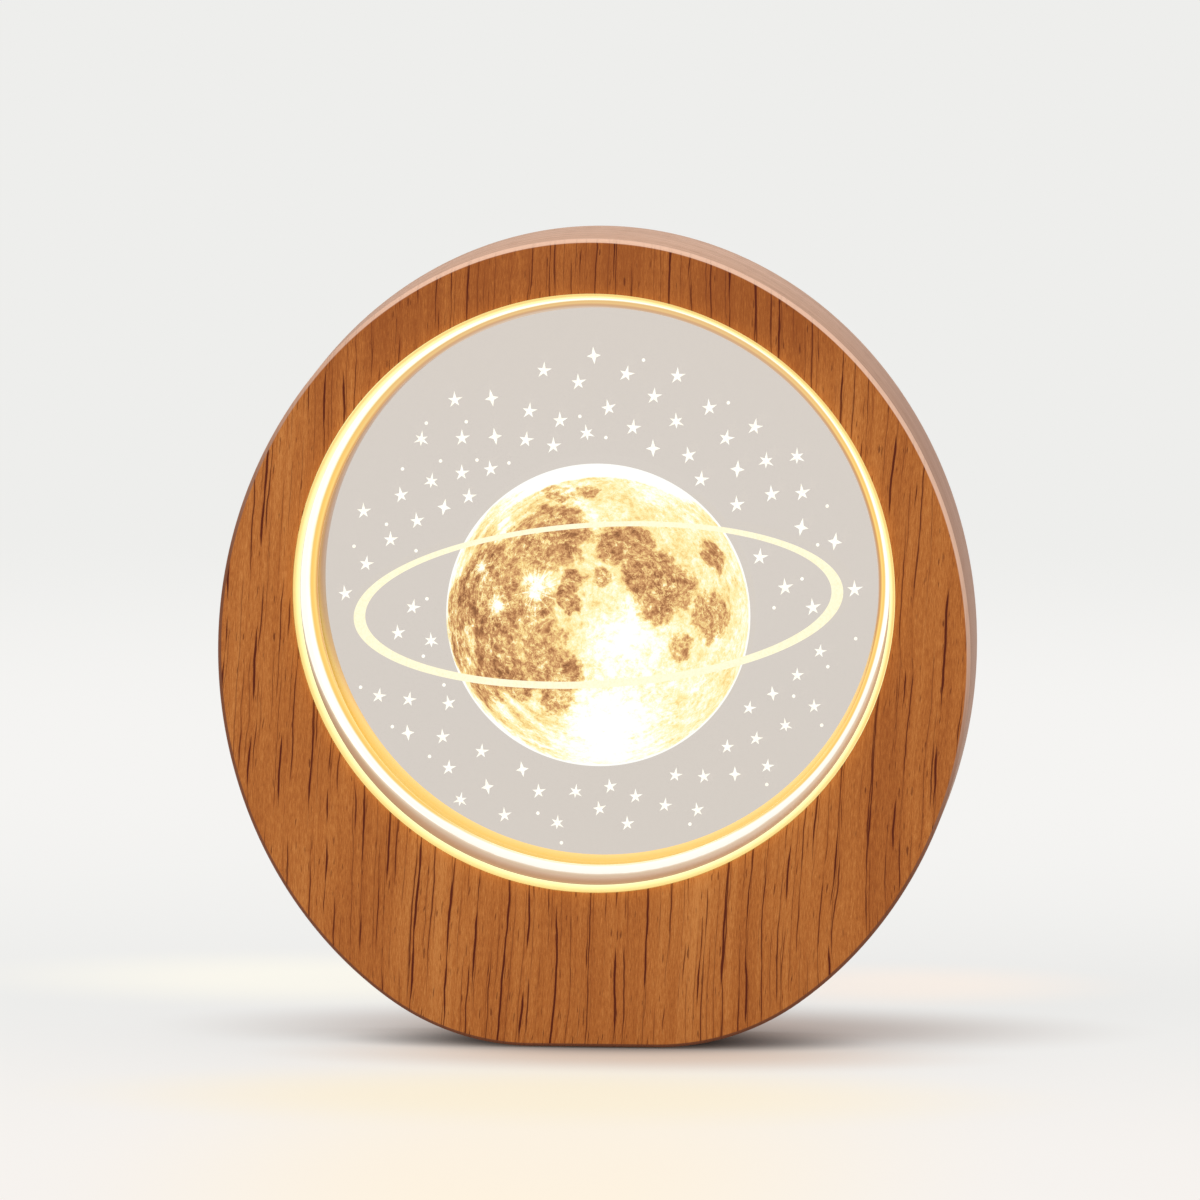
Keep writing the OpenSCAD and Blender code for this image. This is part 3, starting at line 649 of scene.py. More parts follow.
@dataclass(frozen=True)
class Window:
    """The round window and its ring stack, with radii and depths."""

    z: float = 90.0
    hole_r: float = 59.25
    seat_w: float = 1.75
    ring_gap: float = 0.15
    lip_w: float = 1.1
    sleeve_taper: float = 1.1
    glow_w: float = 1.6
    rear_taper: float = 1.4
    rear_wall: float = 1.9
    groove_w: float = 0.3
    flush_gap: float = 0.1
    chamfer: float = 0.25
    seat_d: float = 2.2
    lip_flange: float = 1.2
    sleeve_len: float = 7.6
    glow_t: float = 1.6
    gasket_t: float = 0.3
    disc_t: float = 6.0
    led_room: float = 2.0
    rear_flange: float = 2.8
    back_t: float = 3.0
    frost_t: float = 0.2
    steps: int = 288

    def __post_init__(self) -> None:
        """Works out the radii and depths that follow."""
        seat_r = self.hole_r + self.seat_w
        nose_r = self.hole_r - self.ring_gap
        lip_in_r = nose_r - self.lip_w
        sleeve_in_r = lip_in_r - self.sleeve_taper
        glow_in_r = sleeve_in_r - self.glow_w
        rear_nose_r = glow_in_r + self.rear_wall
        lip_d = self.seat_d + self.lip_flange
        glow_d = lip_d + self.sleeve_len
        gasket_d = glow_d + self.glow_t
        disc_d = gasket_d + self.gasket_t
        disc_back_d = disc_d + self.disc_t
        rear_d = disc_back_d + self.gasket_t
        panel_d = rear_d + self.rear_flange
        derived = {
            "ring_r": seat_r - self.ring_gap, "nose_r": nose_r, "lip_in_r": lip_in_r,
            "sleeve_in_r": sleeve_in_r, "glow_in_r": glow_in_r, "rear_in_r": glow_in_r - self.rear_taper,
            "rear_nose_r": rear_nose_r, "panel_hole_r": rear_nose_r + self.ring_gap,
            "disc_r": seat_r - self.led_room, "seat_r": seat_r, "lip_d": lip_d, "glow_d": glow_d,
            "gasket_d": gasket_d, "disc_d": disc_d, "disc_back_d": disc_back_d, "rear_d": rear_d,
            "panel_d": panel_d, "back_d": panel_d + self.back_t, "frost_d": disc_d - self.frost_t,
        }
        for key, value in derived.items():
            object.__setattr__(self, key, value)


@dataclass(frozen=True)
class Outline:
    """The body's outline: an oval with a flat base and round corners."""

    half_w: float = 74.0
    half_h: float = 82.0
    centre_z: float = 78.0
    base_z: float = 0.2
    corner_r: float = 48.0
    halvings: int = 40

    def rim_point(self, turn: float, inset: float = 0.0) -> tuple[float, float]:
        """Point of the oval, moved inwards.

        Args:
            turn: The ellipse's parameter in radians.
            inset: The move inwards.

        Returns:
            X and Z of the point.
        """
        nx, nz = self.half_h * math.cos(turn), self.half_w * math.sin(turn)
        size = math.hypot(nx, nz)
        return (self.half_w * math.cos(turn) - inset * nx / size,
                self.centre_z + self.half_h * math.sin(turn) - inset * nz / size)

    def corner(self) -> tuple[float, float, float]:
        """Finds the corner circle that touches the oval and stands on the base.

        Returns:
            The ellipse's parameter at the touching point and the circle's centre.
        """
        low, high = -math.pi / 2, 0.0
        for _ in range(self.halvings):
            middle = (low + high) / 2
            if self.rim_point(middle, self.corner_r)[1] < self.base_z + self.corner_r:
                low = middle
            else:
                high = middle
        return middle, *self.rim_point(middle, self.corner_r)

    def reach(self, angle: float, z: float) -> float:
        """Distance from a point on the body's axis to the oval, in a direction.

        Args:
            angle: Direction in degrees.
            z: Height of the point.

        Returns:
            The distance.
        """
        c, s = math.cos(math.radians(angle)), math.sin(math.radians(angle))
        drop = z - self.centre_z
        qa = (c / self.half_w) ** 2 + (s / self.half_h) ** 2
        qb = 2 * drop * s / self.half_h ** 2
        qc = (drop / self.half_h) ** 2 - 1
        return (-qb + math.sqrt(qb * qb - 4 * qa * qc)) / (2 * qa)


WINDOW = Window()
OUTLINE = Outline()


@dataclass(frozen=True)
class Grain:
    """Noise drawn out along upright grain: its pace across and along, and how much it counts."""

    across: float
    along: float
    detail: float
    roughness: float
    weight: float

    def swing(self, bench: MaterialBench, across: Signal) -> Signal:
        """The noise about zero, by the place across the grain."""
        where = bench.vector(across * self.across, 0.0, bench.z * self.along)
        return bench.ripple(where, 1.0, self.detail, self.roughness)


@dataclass(frozen=True)
class Cracks:
    """Long tapered cracks, one line to a strip of the veneer, in several layers."""

    # Strip width, half width, darkness and random start of each layer
    layers: tuple[tuple[float, float, float, float], ...] = (
        (5.6, 0.2, 1.0, 3.1), (3.9, 0.12, 0.9, 41.7), (2.1, 0.06, 0.6, 77.3))
    # Part of its strip in which a crack's middle lies
    middle: tuple[float, float] = (0.25, 0.75)
    # How far apart two strips lie in the noise of the length and of the wandering
    length_skip: float = 7.31
    wander_skip: float = 3.7
    wander_row: float = 5.0
    length_pace: float = 0.05
    wander_pace: float = 0.1
    # A crack opens where the noise passes the onset, and is full this much further on
    onset: float = 0.47
    opening: float = 0.09
    soft_edge: float = 0.07
    shade_reach: float = 0.6
    shade_limits: tuple[float, float] = (0.46, 0.5)
    # How full the line and the shade are at a crack's edge
    line_at_edge: float = 0.4
    shade_at_edge: float = 0.7

    def draw(self, bench: MaterialBench, across: Signal) -> tuple[Signal, Signal]:
        """Draws the cracks.

        Args:
            bench: The material's bench.
            across: Place across the grain.

        Returns:
            How much of a crack there is, and how near one lies.
        """
        dark = near = None
        low, high = self.middle
        for pitch, width, depth, seed in self.layers:
            strip = (across / pitch).math("FLOOR")
            centre = bench.chance(strip + seed) * (pitch * (high - low)) + pitch * low
            along = bench.vector(strip * self.length_skip + seed, 0.0, bench.z * self.length_pace)
            along = bench.noise(along, 1.0, 1.5, 0.6)
            wander = bench.vector(strip * self.wander_skip, self.wander_row, bench.z * self.wander_pace)
            wander = bench.ripple(wander, 1.0, 2.0)
            half = ((along - self.onset) * (width / self.opening)).math("MINIMUM", width)
            inside = half - abs(across - strip * pitch - centre - wander)
            line = (inside / self.soft_edge).math("ADD", self.line_at_edge, clamp=True) * depth
            shade = (inside / self.shade_reach).math("ADD", self.shade_at_edge, clamp=True)
            shade = shade * along.ease(*self.shade_limits) * depth
            dark = line if dark is None else dark.most(line)
            near = shade if near is None else near.most(shade)
        return dark, near


@dataclass(frozen=True)
class Veneer:
    """Open-grained veneer: streaks, long dark cracks and short dashes, its grain upright."""

    name: str
    shift: float = 0.0
    edging: float = 0.0
    pale: Colour = tone(200, 130, 66)
    middle: Colour = tone(177, 104, 44)
    deep: Colour = tone(148, 78, 28)
    crack: Colour = tone(88, 30, 9)
    warm: Colour = tone(146, 68, 22)
    # Pale wood of the rounded edge with its painted highlight, and the painted shade tone of the edge where
    # it faces down and left
    edge: Colour = tone(226, 184, 158)
    shaded_edge: Colour = tone(120, 70, 44)
    # Colour of the painted glow that the window's light casts on the wood round it
    painted_glow: Colour = tone(255, 150, 48)
    broad: Grain = Grain(0.08, 0.008, 2.0, 0.5, 0.8)
    streak: Grain = Grain(0.7, 0.02, 6.0, 0.7, 0.8)
    fine: Grain = Grain(5.0, 0.5, 5.0, 0.85, 2.1)
    dash: Grain = Grain(2.2, 0.24, 1.0, 0.5, 0.75)
    dash_limits: tuple[float, float] = (0.17, 0.24)
    cracks: Cracks = Cracks()
    warm_share: float = 0.3
    lean: float = 0.04
    sway: float = 7.0
    sway_pace: tuple[float, float, float] = (0.035, 0.0, 0.012)
    # Middle and half width of the darker bands along the grain
    bands: tuple[tuple[float, float], ...] = ((-46.0, 6.0), (55.0, 6.0))
    band_core: float = 1.0
    band_shade: float = 0.14
    # Heights between which painted shade darkens the top, and by how much
    top: tuple[float, float] = (125.0, 150.0)
    painted_top_shade: float = 0.25
    # Depths and distances from the window between which the pale line of the rounded edge begins, and the
    # weights and limits that turn it from its painted shade tone to its painted highlight by which way it
    # faces
    pale_and_painted_edge_depths: tuple[float, float] = (0.015, 0.06)
    pale_and_painted_edge_reach: tuple[float, float] = (0.5, 1.5)
    lit_from: tuple[float, float] = (0.4, 0.9)
    lit_limits: tuple[float, float] = (-20.0, 60.0)
    # Strength of the painted glow, and the distance over which it fades away from the window
    painted_glow_strength: float = 0.12
    painted_glow_fade: float = 1.3
    relief: float = 0.16

    def build(self) -> bpy.types.Material:
        """Makes the finish.

        Returns:
            The material.
        """
        bench = MaterialBench(self.name)
        sway = bench.ripple(bench.stretched(*self.sway_pace), 1.0, 2.0)
        across = bench.x - bench.z * self.lean + sway * self.sway + self.shift
        broad, streak, fine, dash = (grain.swing(bench, across)
                                     for grain in (self.broad, self.streak, self.fine, self.dash))
        shade = 0.5 + broad * self.broad.weight + streak * self.streak.weight + fine * self.fine.weight
        for middle, half in self.bands:
            shade = shade - abs(across - middle).ease(half, self.band_core) * self.band_shade
        # Painted shade: the wood darker towards the top
        shade = shade - bench.z.ease(*self.top) * self.painted_top_shade
        wood = bench.ramp(shade, (0.15, self.deep), (0.5, self.middle), (0.85, self.pale))
        dark, near = self.cracks.draw(bench, across)
        dark = dark.most(dash.ease(*self.dash_limits) * self.dash.weight)
        wood = bench.mix(near * self.warm_share, wood, self.warm)
        wood = bench.mix(dark, wood, self.crack)
        outside = bench.length(bench.x, bench.z - WINDOW.z) - WINDOW.hole_r
        if self.edging:
            wood = self._edge(bench, wood, outside)
        # Painted glow of the window's light on the wood, fading away from the window
        painted_glow = (outside / -self.painted_glow_fade).math("EXPONENT") * self.painted_glow_strength
        height = streak * 0.5 + fine * 0.5 - dark * 1.1
        return bench.finish(
            Base_Color=wood, Roughness=0.5 + fine * 0.14 + dark * 0.25,
            Normal=bench.bump(height, self.relief, 0.6), Specular_IOR_Level=0.16, IOR=1.5,
            Emission_Color=bench.mix(painted_glow.clamp(), BLACK, self.painted_glow), Emission_Strength=1.0)

    def _edge(self, bench: MaterialBench, wood: Signal, outside: Signal) -> Signal:
        """Lays the pale line of the rounded edge over the wood: pale wood with a painted highlight where it
        faces up and right, and painted shade where it faces down and left.

        Args:
            bench: The material's bench.
            wood: The wood's colour.
            outside: Distance from the window.

        Returns:
            The colour with the edge.
        """
        pale_and_painted_edge = bench.depth.ease(*self.pale_and_painted_edge_depths) * outside.ease(*self.pale_and_painted_edge_reach) * self.edging
        # Painted highlight and painted shade on the edge line, by which way it faces
        lit = bench.x * self.lit_from[0] + (bench.z - OUTLINE.centre_z) * self.lit_from[1]
        return bench.mix(pale_and_painted_edge, wood, bench.mix(lit.ease(*self.lit_limits), self.shaded_edge, self.edge))


@dataclass(frozen=True)
class RimVeneer:
    """The bent band round the rim, whose grain runs along it."""

    name: str = "rim_wood"
    pale: Colour = tone(216, 174, 148)
    deep: Colour = tone(172, 130, 102)
    # Tone of the pores, also the tone of the painted shade on the sides
    pore_and_side_shade: Colour = tone(138, 94, 72)
    # Pace along the rim and across it, row, detail and roughness of streaks, fine grain and pores
    layers: tuple[tuple[float, ...], ...] = (
        (0.02, 0.8, 0.0, 5.0, 0.65), (0.05, 3.2, 4.0, 3.0, 0.6), (0.3, 4.5, 9.0, 1.0, 0.55))
    pore_limits: tuple[float, float] = (0.6, 0.7)
    pore_shade: float = 0.6
    # How far round from the top the painted shade of the sides begins and is full, in radians
    side_limits: tuple[float, float] = (0.3, 1.1)
    painted_side_shade: float = 0.55
    relief: float = 0.1

    def build(self) -> bpy.types.Material:
        """Makes the finish.

        Returns:
            The material.
        """
        bench = MaterialBench(self.name)
        turn = bench.math("ARCTAN2", bench.x, bench.z - OUTLINE.centre_z)
        along = turn * OUTLINE.half_w
        streak, fine, pores = (
            bench.noise(bench.vector(along * run, bench.depth * over, row), 1.0, detail, roughness)
            for run, over, row, detail, roughness in self.layers)
        streak, fine, pores = streak - 0.5, fine - 0.5, pores.ease(*self.pore_limits)
        wood = bench.ramp(0.5 + streak * 1.7 + fine * 1.1, (0.15, self.deep), (0.85, self.pale))
        wood = bench.mix(pores * self.pore_shade, wood, self.pore_and_side_shade)
        # Painted shade: the rim's sides darker than its top
        wood = bench.mix(abs(turn).ease(*self.side_limits) * self.painted_side_shade, wood, self.pore_and_side_shade)
        height = streak * 0.5 + fine * 0.4 - pores * 0.5
        return bench.finish(Base_Color=wood, Roughness=0.55 + fine * 0.12, Specular_IOR_Level=0.2,
                            Normal=bench.bump(height, self.relief, 0.5))


# Scale, detail and roughness of the clouds in a lit ring
RING_CLOUD = (0.16, 3.0, 0.6)


@dataclass(frozen=True)
class LitRing:
    """A translucent ring with light inside, whose tone changes with depth."""

    name: str
    front: Colour
    middle: Colour
    back: Colour
    depths: tuple[float, float]
    strength: float
    mottle: float = 0.1
    grain_scale: float = 0.9
    dark: float = 0.9

    def build(self) -> bpy.types.Material:
        """Makes the finish.

        Returns:
            The material.
        """
        bench = MaterialBench(self.name)
        low, high = self.depths
        share = (bench.depth - low) / (high - low) + bench.ripple(bench.place, *RING_CLOUD) * self.mottle
        light = bench.ramp(share, (0.0, self.front), (0.5, self.middle), (1.0, self.back))
        grain = bench.noise(bench.place, self.grain_scale, 2.0)
        light = bench.mix(grain.ease(0.3, 0.7) * self.mottle, light, self.middle)
        return bench.glow(light, self.strength, self.dark, Roughness=0.28 + grain * 0.1)


class Band(Enum):
    """The bands of light that show inside the lip, from the front to the back."""

    SLEEVE = 0
    DIFFUSER = 1
    REAR = 2


@dataclass(frozen=True)
class BandLight:
    """One of three rings lit from within, whose tones run on from ring to ring and shift round the window."""

    name: str
    band: Band
    strength: float = 0.9
    dark: float = 0.9
    olive: Colour = tone(150, 132, 74)
    amber: Colour = tone(255, 206, 60)
    tan: Colour = tone(214, 176, 138)
    last: float = 4.0
    # Place in the row of tones, from 0 at the lip to 4 at the disc, and the tone there
    tones: tuple[tuple[float, Colour], ...] = (
        (0.0, tone(150, 125, 70)), (0.05, tone(203, 152, 105)), (0.2, tone(182, 135, 93)),
        (0.55, tone(181, 137, 100)), (0.8, tone(185, 151, 116)), (0.95, tone(208, 184, 156)),
        (1.02, tone(255, 252, 240)), (1.85, tone(255, 255, 250)), (2.0, tone(253, 240, 195)),
        (2.12, tone(244, 212, 128)), (2.3, tone(255, 202, 100)), (2.6, tone(255, 210, 112)),
        (2.85, tone(255, 220, 128)), (3.05, tone(240, 186, 104)), (3.25, tone(213, 156, 85)),
        (3.45, tone(203, 152, 105)), (3.7, tone(200, 165, 135)), (4.0, tone(218, 206, 194)))
    cloud_shift: float = 0.12
    # Sideways place round the window, from -1 to 1, where its right half ends and its left begins
    halves: tuple[float, float] = (0.2, -0.2)
    # Height round the window, from -1 to 1, between which the row shifts on the left and on the right
    left_rise: tuple[float, float] = (-1.0, 0.1)
    right_rise: tuple[float, float] = (-0.35, 0.1)
    late_rise: tuple[float, float] = (-0.75, 0.1)
    # How far the row shifts on the right half, in the diffuser and in the rear ring
    right_shift: float = 0.9
    diffuser_shift: float = 0.9
    rear_shift: float = 0.9
    # Way in which the diffuser's tones run faster, its limits and rates, and the step at the lower left
    fast_way: tuple[float, float] = (0.75, 0.65)
    fast_limits: tuple[float, float] = (-0.35, 0.5)
    rates: tuple[float, float] = (1.0, 2.2)
    left_step: tuple[float, float, float] = (-0.95, -0.7, 0.4)
    # Place in the row where the rear ring begins, and how far its depth runs on
    rear_start: float = 2.1
    rear_run: float = 0.85
    # Height at which each tint begins, height at which it is full, and its share there
    tan_tint: tuple[float, float, float] = (0.3, 0.9, 0.55)
    amber_tint: tuple[float, float, float] = (0.2, -0.3, 0.45)
    # The tint towards black is painted shade, darkening the rear ring above its lowest part
    painted_shade_tint: tuple[float, float, float] = (-0.6, -0.1, 0.42)
    olive_tint: tuple[float, float, float] = (0.08, 0.05, 0.5)

    def build(self) -> bpy.types.Material:
        """Makes the finish.

        Returns:
            The material.
        """
        bench = MaterialBench(self.name)
        rise = bench.z - WINDOW.z
        radius = bench.length(bench.x, rise)
        right, up = bench.x / radius, rise / radius
        row = self._row(bench, radius, right, up)
        cloud = bench.ripple(bench.place, *RING_CLOUD)
        stops = [(place / self.last, colour) for place, colour in self.tones]
        light = bench.ramp((row + cloud * self.cloud_shift) / self.last, *stops)
        light = self._tint(bench, light, up, self.tan_tint, self.tan, row.ease(2.0, 2.2))
        if self.band is Band.SLEEVE:
            share = (bench.depth - WINDOW.lip_d) / WINDOW.sleeve_len
            light = self._tint(bench, light, share, self.olive_tint, self.olive)
        if self.band is Band.REAR:
            light = self._tint(bench, light, up, self.amber_tint, self.amber)
            # Painted shade: the rear ring darker above its lowest part
            light = self._tint(bench, light, up, self.painted_shade_tint, BLACK)
        return bench.glow(light, self.strength, self.dark, Roughness=0.3 + cloud * 0.1)

    def _tint(self, bench: MaterialBench, light: Signal, where: Signal, limits: tuple[float, float, float],
              colour: Colour, mask: Number = 1.0) -> Signal:
        """Tints the light, given where a number lets the tint begin, where it is full and its share there."""
        begins, full, share = limits
        return bench.mix(where.ease(begins, full) * mask * share, light, colour)

    def _row(self, bench: MaterialBench, radius: Signal, right: Signal, up: Signal) -> Signal:
        """Place in the row of tones.

        Args:
            bench: The material's bench.
            radius: Distance from the window's axis.
            right: Sideways place round the window, from -1 to 1.
            up: Height round the window, from -1 to 1.

        Returns:
            The place, from 0 at the lip to 4 at the disc.
        """
        w = WINDOW
        left = right.ease(*self.halves)
        shift = left * up.ease(*self.left_rise) + (1.0 - left) * self.right_shift * up.ease(*self.right_rise)
        if self.band is Band.SLEEVE:
            return shift + (bench.depth - w.lip_d) / w.sleeve_len
        if self.band is Band.DIFFUSER:
            share = (w.sleeve_in_r - radius) / w.glow_w
            toward = right * self.fast_way[0] + up * self.fast_way[1]
            begins, full, added = self.left_step
            rate = toward.ease(*self.fast_limits, *self.rates) + left * up.ease(begins, full) * added
            return 1.0 + shift * self.diffuser_shift + share.clamp() * rate
        late = left * up.ease(*self.late_rise) + (1.0 - left) * up.ease(*self.right_rise)
        run = (bench.depth - w.rear_d) / (w.back_d - w.rear_d) * self.rear_run
        return self.rear_start + late * self.rear_shift + run


@dataclass(frozen=True)
class ClearDisc:
    """Clear crystal, polished."""

    name: str = "crystal"
    tint: Colour = (0.775, 0.712, 0.66)
    bend: float = 1.49

    def build(self) -> bpy.types.Material:
        """Makes the material."""
        bench = MaterialBench(self.name)
        return bench.finish(Base_Color=self.tint, Transmission_Weight=1.0, IOR=self.bend, Roughness=0.0)


@dataclass(frozen=True)
class MoonFrost:
    """Edge-lit frost that shows the moon's bright lands, dark plains and craters."""

    name: str = "moon_frost"
    radius: float = 30.0
    centre_z: float = 84.25
    tilt: float = 7.0
    strength: float = 0.9
    dark: float = 0.86
    relief: float = 0.1
    # Scale, detail and roughness of the coarse and the fine mottling and of the dust
    coarse: tuple[float, float, float] = (5.0, 6.0, 0.65)
    fine: tuple[float, float, float] = (19.0, 5.0, 0.7)
    dust: tuple[float, float, float] = (60.0, 3.0, 0.7)
    pit_scale: float = 17.0
    pit_limits: tuple[float, float] = (0.1, 0.42)
    # Brightness of the lands, and how much the mottling, the dust and the pits change it
    land: float = 0.82
    mottle: float = 0.6
    dusting: float = 0.3
    pitting: float = 0.08
    slope_limits: tuple[float, float] = (-0.5, 1.1)
    slope_light: float = 0.05
    # How much darker the plains are, and how far the fine and the coarse mottling break them up
    plain_shade: float = 0.95
    plain_fine: float = 1.9
    plain_coarse: float = 0.8
    # Latitude, longitude and radius of each dark plain in degrees, and its strength
    plains: tuple[tuple[float, float, float, float], ...] = (
        (34, -18, 16.5, 0.86), (27, 15, 10, 0.92), (9, 27, 13, 1.0), (17.5, 57, 7, 0.85), (-5, 48, 10, 0.9),
        (-16, 32, 5.5, 0.72), (-19, -22, 12, 0.88), (-23, -40, 7, 0.9), (20, -50, 16, 0.95),
        (2, -44, 15, 0.95), (8, -62, 13, 1.0), (7, -27, 9, 0.92), (14, -8, 4.5, 0.9), (6, -12, 5, 0.9),
        (13, 4, 4.5, 0.88), (56, 3, 5, 0.74), (58, -16, 5, 0.76), (0, -74, 15, 0.95), (-31, -24, 8, 0.8),
        (-10, -47, 14, 0.86), (-9, -23, 9, 0.8), (-22, -62, 9, 0.78))
    # Where a plain begins and is full, in its radii
    plain_limits: tuple[float, float] = (1.5, 0.35)
    # Scale and reach of the two warps of the plains' shores
    warps: tuple[tuple[float, float], ...] = ((2.6, 0.3), (9.0, 0.13))
    shore: float = 1.5
    shore_noise: tuple[float, float, float] = (13.0, 7.0, 0.78)
    shore_limits: tuple[float, float] = (0.34, 0.72)
    # Darkness at a plain's shore, and what its middle adds
    shore_shade: float = 0.26
    middle_shade: float = 0.3
    # Noise and half width of the veins and of the finer lace, and the lace's share
    vein_noise: tuple[float, float, float] = (8.0, 5.0, 0.62)
    vein_w: float = 0.03
    lace_noise: tuple[float, float, float] = (19.0, 4.0, 0.65)
    lace_w: float = 0.045
    lace_share: float = 0.7
    # How much lighter veins are in the plains, and how much darker on the lands
    vein_light: float = 0.85
    vein_shade: float = 0.12
    # Latitude, longitude, radius and ray length of the bright craters in degrees
    bright: tuple[tuple[float, float, float, float], ...] = (
        (12, -24, 3.4, 16), (8, -41.4, 2.2, 11), (23.8, -52, 1.6, 9))
    ray_noise: tuple[float, float, float] = (7.0, 3.0, 0.7)
    ray_limits: tuple[float, float] = (0.48, 0.66)
    ray_light: float = 0.34
    spot_reach: float = 2.6
    spot_light: float = 0.62
    # Middle in radii right and up, radius and strength of the glaring patches
    glare: tuple[tuple[float, float, float, float], ...] = (
        (0.2, -0.14, 0.4, 0.26), (0.16, -0.46, 0.5, 0.12), (0.06, -0.8, 0.46, 0.32), (0.42, 0.86, 0.3, 0.2))
    # Middle and radius of the light arc in radii, where it begins, and how much lighter it is
    arc: tuple[float, float, float] = (-0.33, 0.52, 0.31)
    arc_rise: tuple[float, float] = (-0.15, 0.1)
    arc_light: float = 0.14
    # Where the edge line, the crescent, the streaks and the band at the limb begin and are full, in radii
    line_limits: tuple[float, float] = (0.984, 0.995)
    crescent_limits: tuple[float, float] = (0.99, 1.01)
    crescent_rise: tuple[float, float] = (0.7, 0.92)
    crescent_side: float = 0.03
    crescent_drop: float = 0.085
    streak_limits: tuple[float, float] = (0.6, 0.85)
    band_limits: tuple[float, float] = (0.96, 0.985)
    side_limits: tuple[float, float] = (0.0, -0.45)
    # Pace of the streaks outwards and round the limb, and their noise
    streak_pace: tuple[float, float] = (24.0, 2.4)
    streak_noise: tuple[float, float, float] = (1.0, 4.0, 0.65)
    # How much lighter the edge line, the crescent, the streaks and the band at the limb are
    line_light: float = 0.3
    crescent_light: float = 0.6
    streak_light: float = 1.2
    band_light: float = 0.12
    tones: tuple[tuple[float, Colour], ...] = (
        (0.0, tone(132, 82, 42)), (0.2, tone(166, 110, 64)), (0.35, tone(196, 140, 88)),
        (0.5, tone(222, 172, 112)), (0.65, tone(245, 212, 134)), (0.8, tone(254, 240, 176)),
        (0.92, tone(255, 250, 220)), (1.0, tone(255, 255, 250)))

    def _direction(self, lat: float, lon: float) -> tuple[float, float, float]:
        """Direction of a place on the moon, seen from its centre."""
        a, o = math.radians(lat), math.radians(lon)
        return math.cos(a) * math.sin(o), -math.cos(a) * math.cos(o), math.sin(a)

    def build(self) -> bpy.types.Material:
        """Makes the finish.

        Returns:
            The material.
        """
        bench = MaterialBench(self.name)
        u = bench.x / self.radius
        w = (bench.z - self.centre_z) / self.radius
        limb = bench.length(u, w)
        toward = (1.0 - (limb * limb).math("MINIMUM", 1.0)).math("SQRT")
        c, s = math.cos(math.radians(self.tilt)), math.sin(math.radians(self.tilt))
        ball = bench.vector(u * c + w * s, toward * -1.0, w * c - u * s)
        plains, veins = self._plains(bench, ball)
        coarse, fine = bench.ripple(ball, *self.coarse), bench.ripple(ball, *self.fine)
        dust = bench.noise(ball, *self.dust)
        pits = bench.cells(ball, self.pit_scale).ease(*self.pit_limits)
        level = self.land + coarse * self.mottle + fine * self.mottle
        level = level + (dust - 0.5) * self.dusting - (1.0 - pits) * self.pitting
        level = level + (u - w).ease(*self.slope_limits) * self.slope_light
        shade = self.plain_shade - fine * self.plain_fine - coarse * self.plain_coarse
        level = level - plains * shade + veins * (plains * self.vein_light - self.vein_shade)
        for crater in self.bright:
            level = level + self._rays(bench, ball, *crater)
        level = level + self._lit_places(bench, u, w) + self._limb(bench, u, w, limb)
        normal = bench.bump(level * 0.6 + dust * 0.4, self.relief, 0.4)
        return bench.glow(bench.ramp(level, *self.tones), self.strength, self.dark,
                          Roughness=0.7 + dust * 0.15, Normal=normal)

    def _plains(self, bench: MaterialBench, ball: Signal) -> tuple[Signal, Signal]:
        """Dark plains with ragged shores.

        Args:
            bench: The material's bench.
            ball: Place on the moon's ball.

        Returns:
            The plains' darkness, and thin light veins.
        """
        place = ball
        for scale, reach in self.warps:
            warp = bench.noise(ball, scale, 4.0, 0.62, result="Color")
            warp = bench.vector_math("SUBTRACT", warp, (0.5, 0.5, 0.5))
            place = bench.vector_math("ADD", place, bench.vector_math("MULTIPLY", warp, (reach,) * 3))
        place = bench.vector_math("NORMALIZE", place)
        cover = None
        for lat, lon, size, strength in self.plains:
            facing = bench.vector_math("DOT_PRODUCT", place, self._direction(lat, lon), result="Value")
            rim, floor = (math.cos(math.radians(size * limit)) for limit in self.plain_limits)
            patch = facing.ease(rim, floor, 0.0, strength)
            cover = patch if cover is None else cover.most(patch)
        shore = bench.ripple(ball, *self.shore_noise) * self.shore
        veins = abs(bench.ripple(place, *self.vein_noise)).ease(self.vein_w, 0.0)
        lace = abs(bench.ripple(place, *self.lace_noise)).ease(self.lace_w, 0.0) * self.lace_share
        shade = cover * self.middle_shade + self.shore_shade
        return (cover + shore).ease(*self.shore_limits) * shade, veins.most(lace)

    def _lit_places(self, bench: MaterialBench, u: Signal, w: Signal) -> Signal:
        """Glaring patches and the light arc round the upper plain.

        Args:
            bench: The material's bench.
            u: Place to the right in radii.
            w: Place upwards in radii.

        Returns:
            How much lighter they make the moon.
        """
        x, z, size = self.arc
        gap = bench.length(u - x, w - z)
        added = gap.ease(size - 0.05, size) * gap.ease(size + 0.07, size + 0.02)
        added = added * (w - z).ease(*self.arc_rise) * self.arc_light
        for x, z, size, strength in self.glare:
            added = added + bench.length(u - x, w - z).ease(size, 0.0, 0.0, strength)
        return added

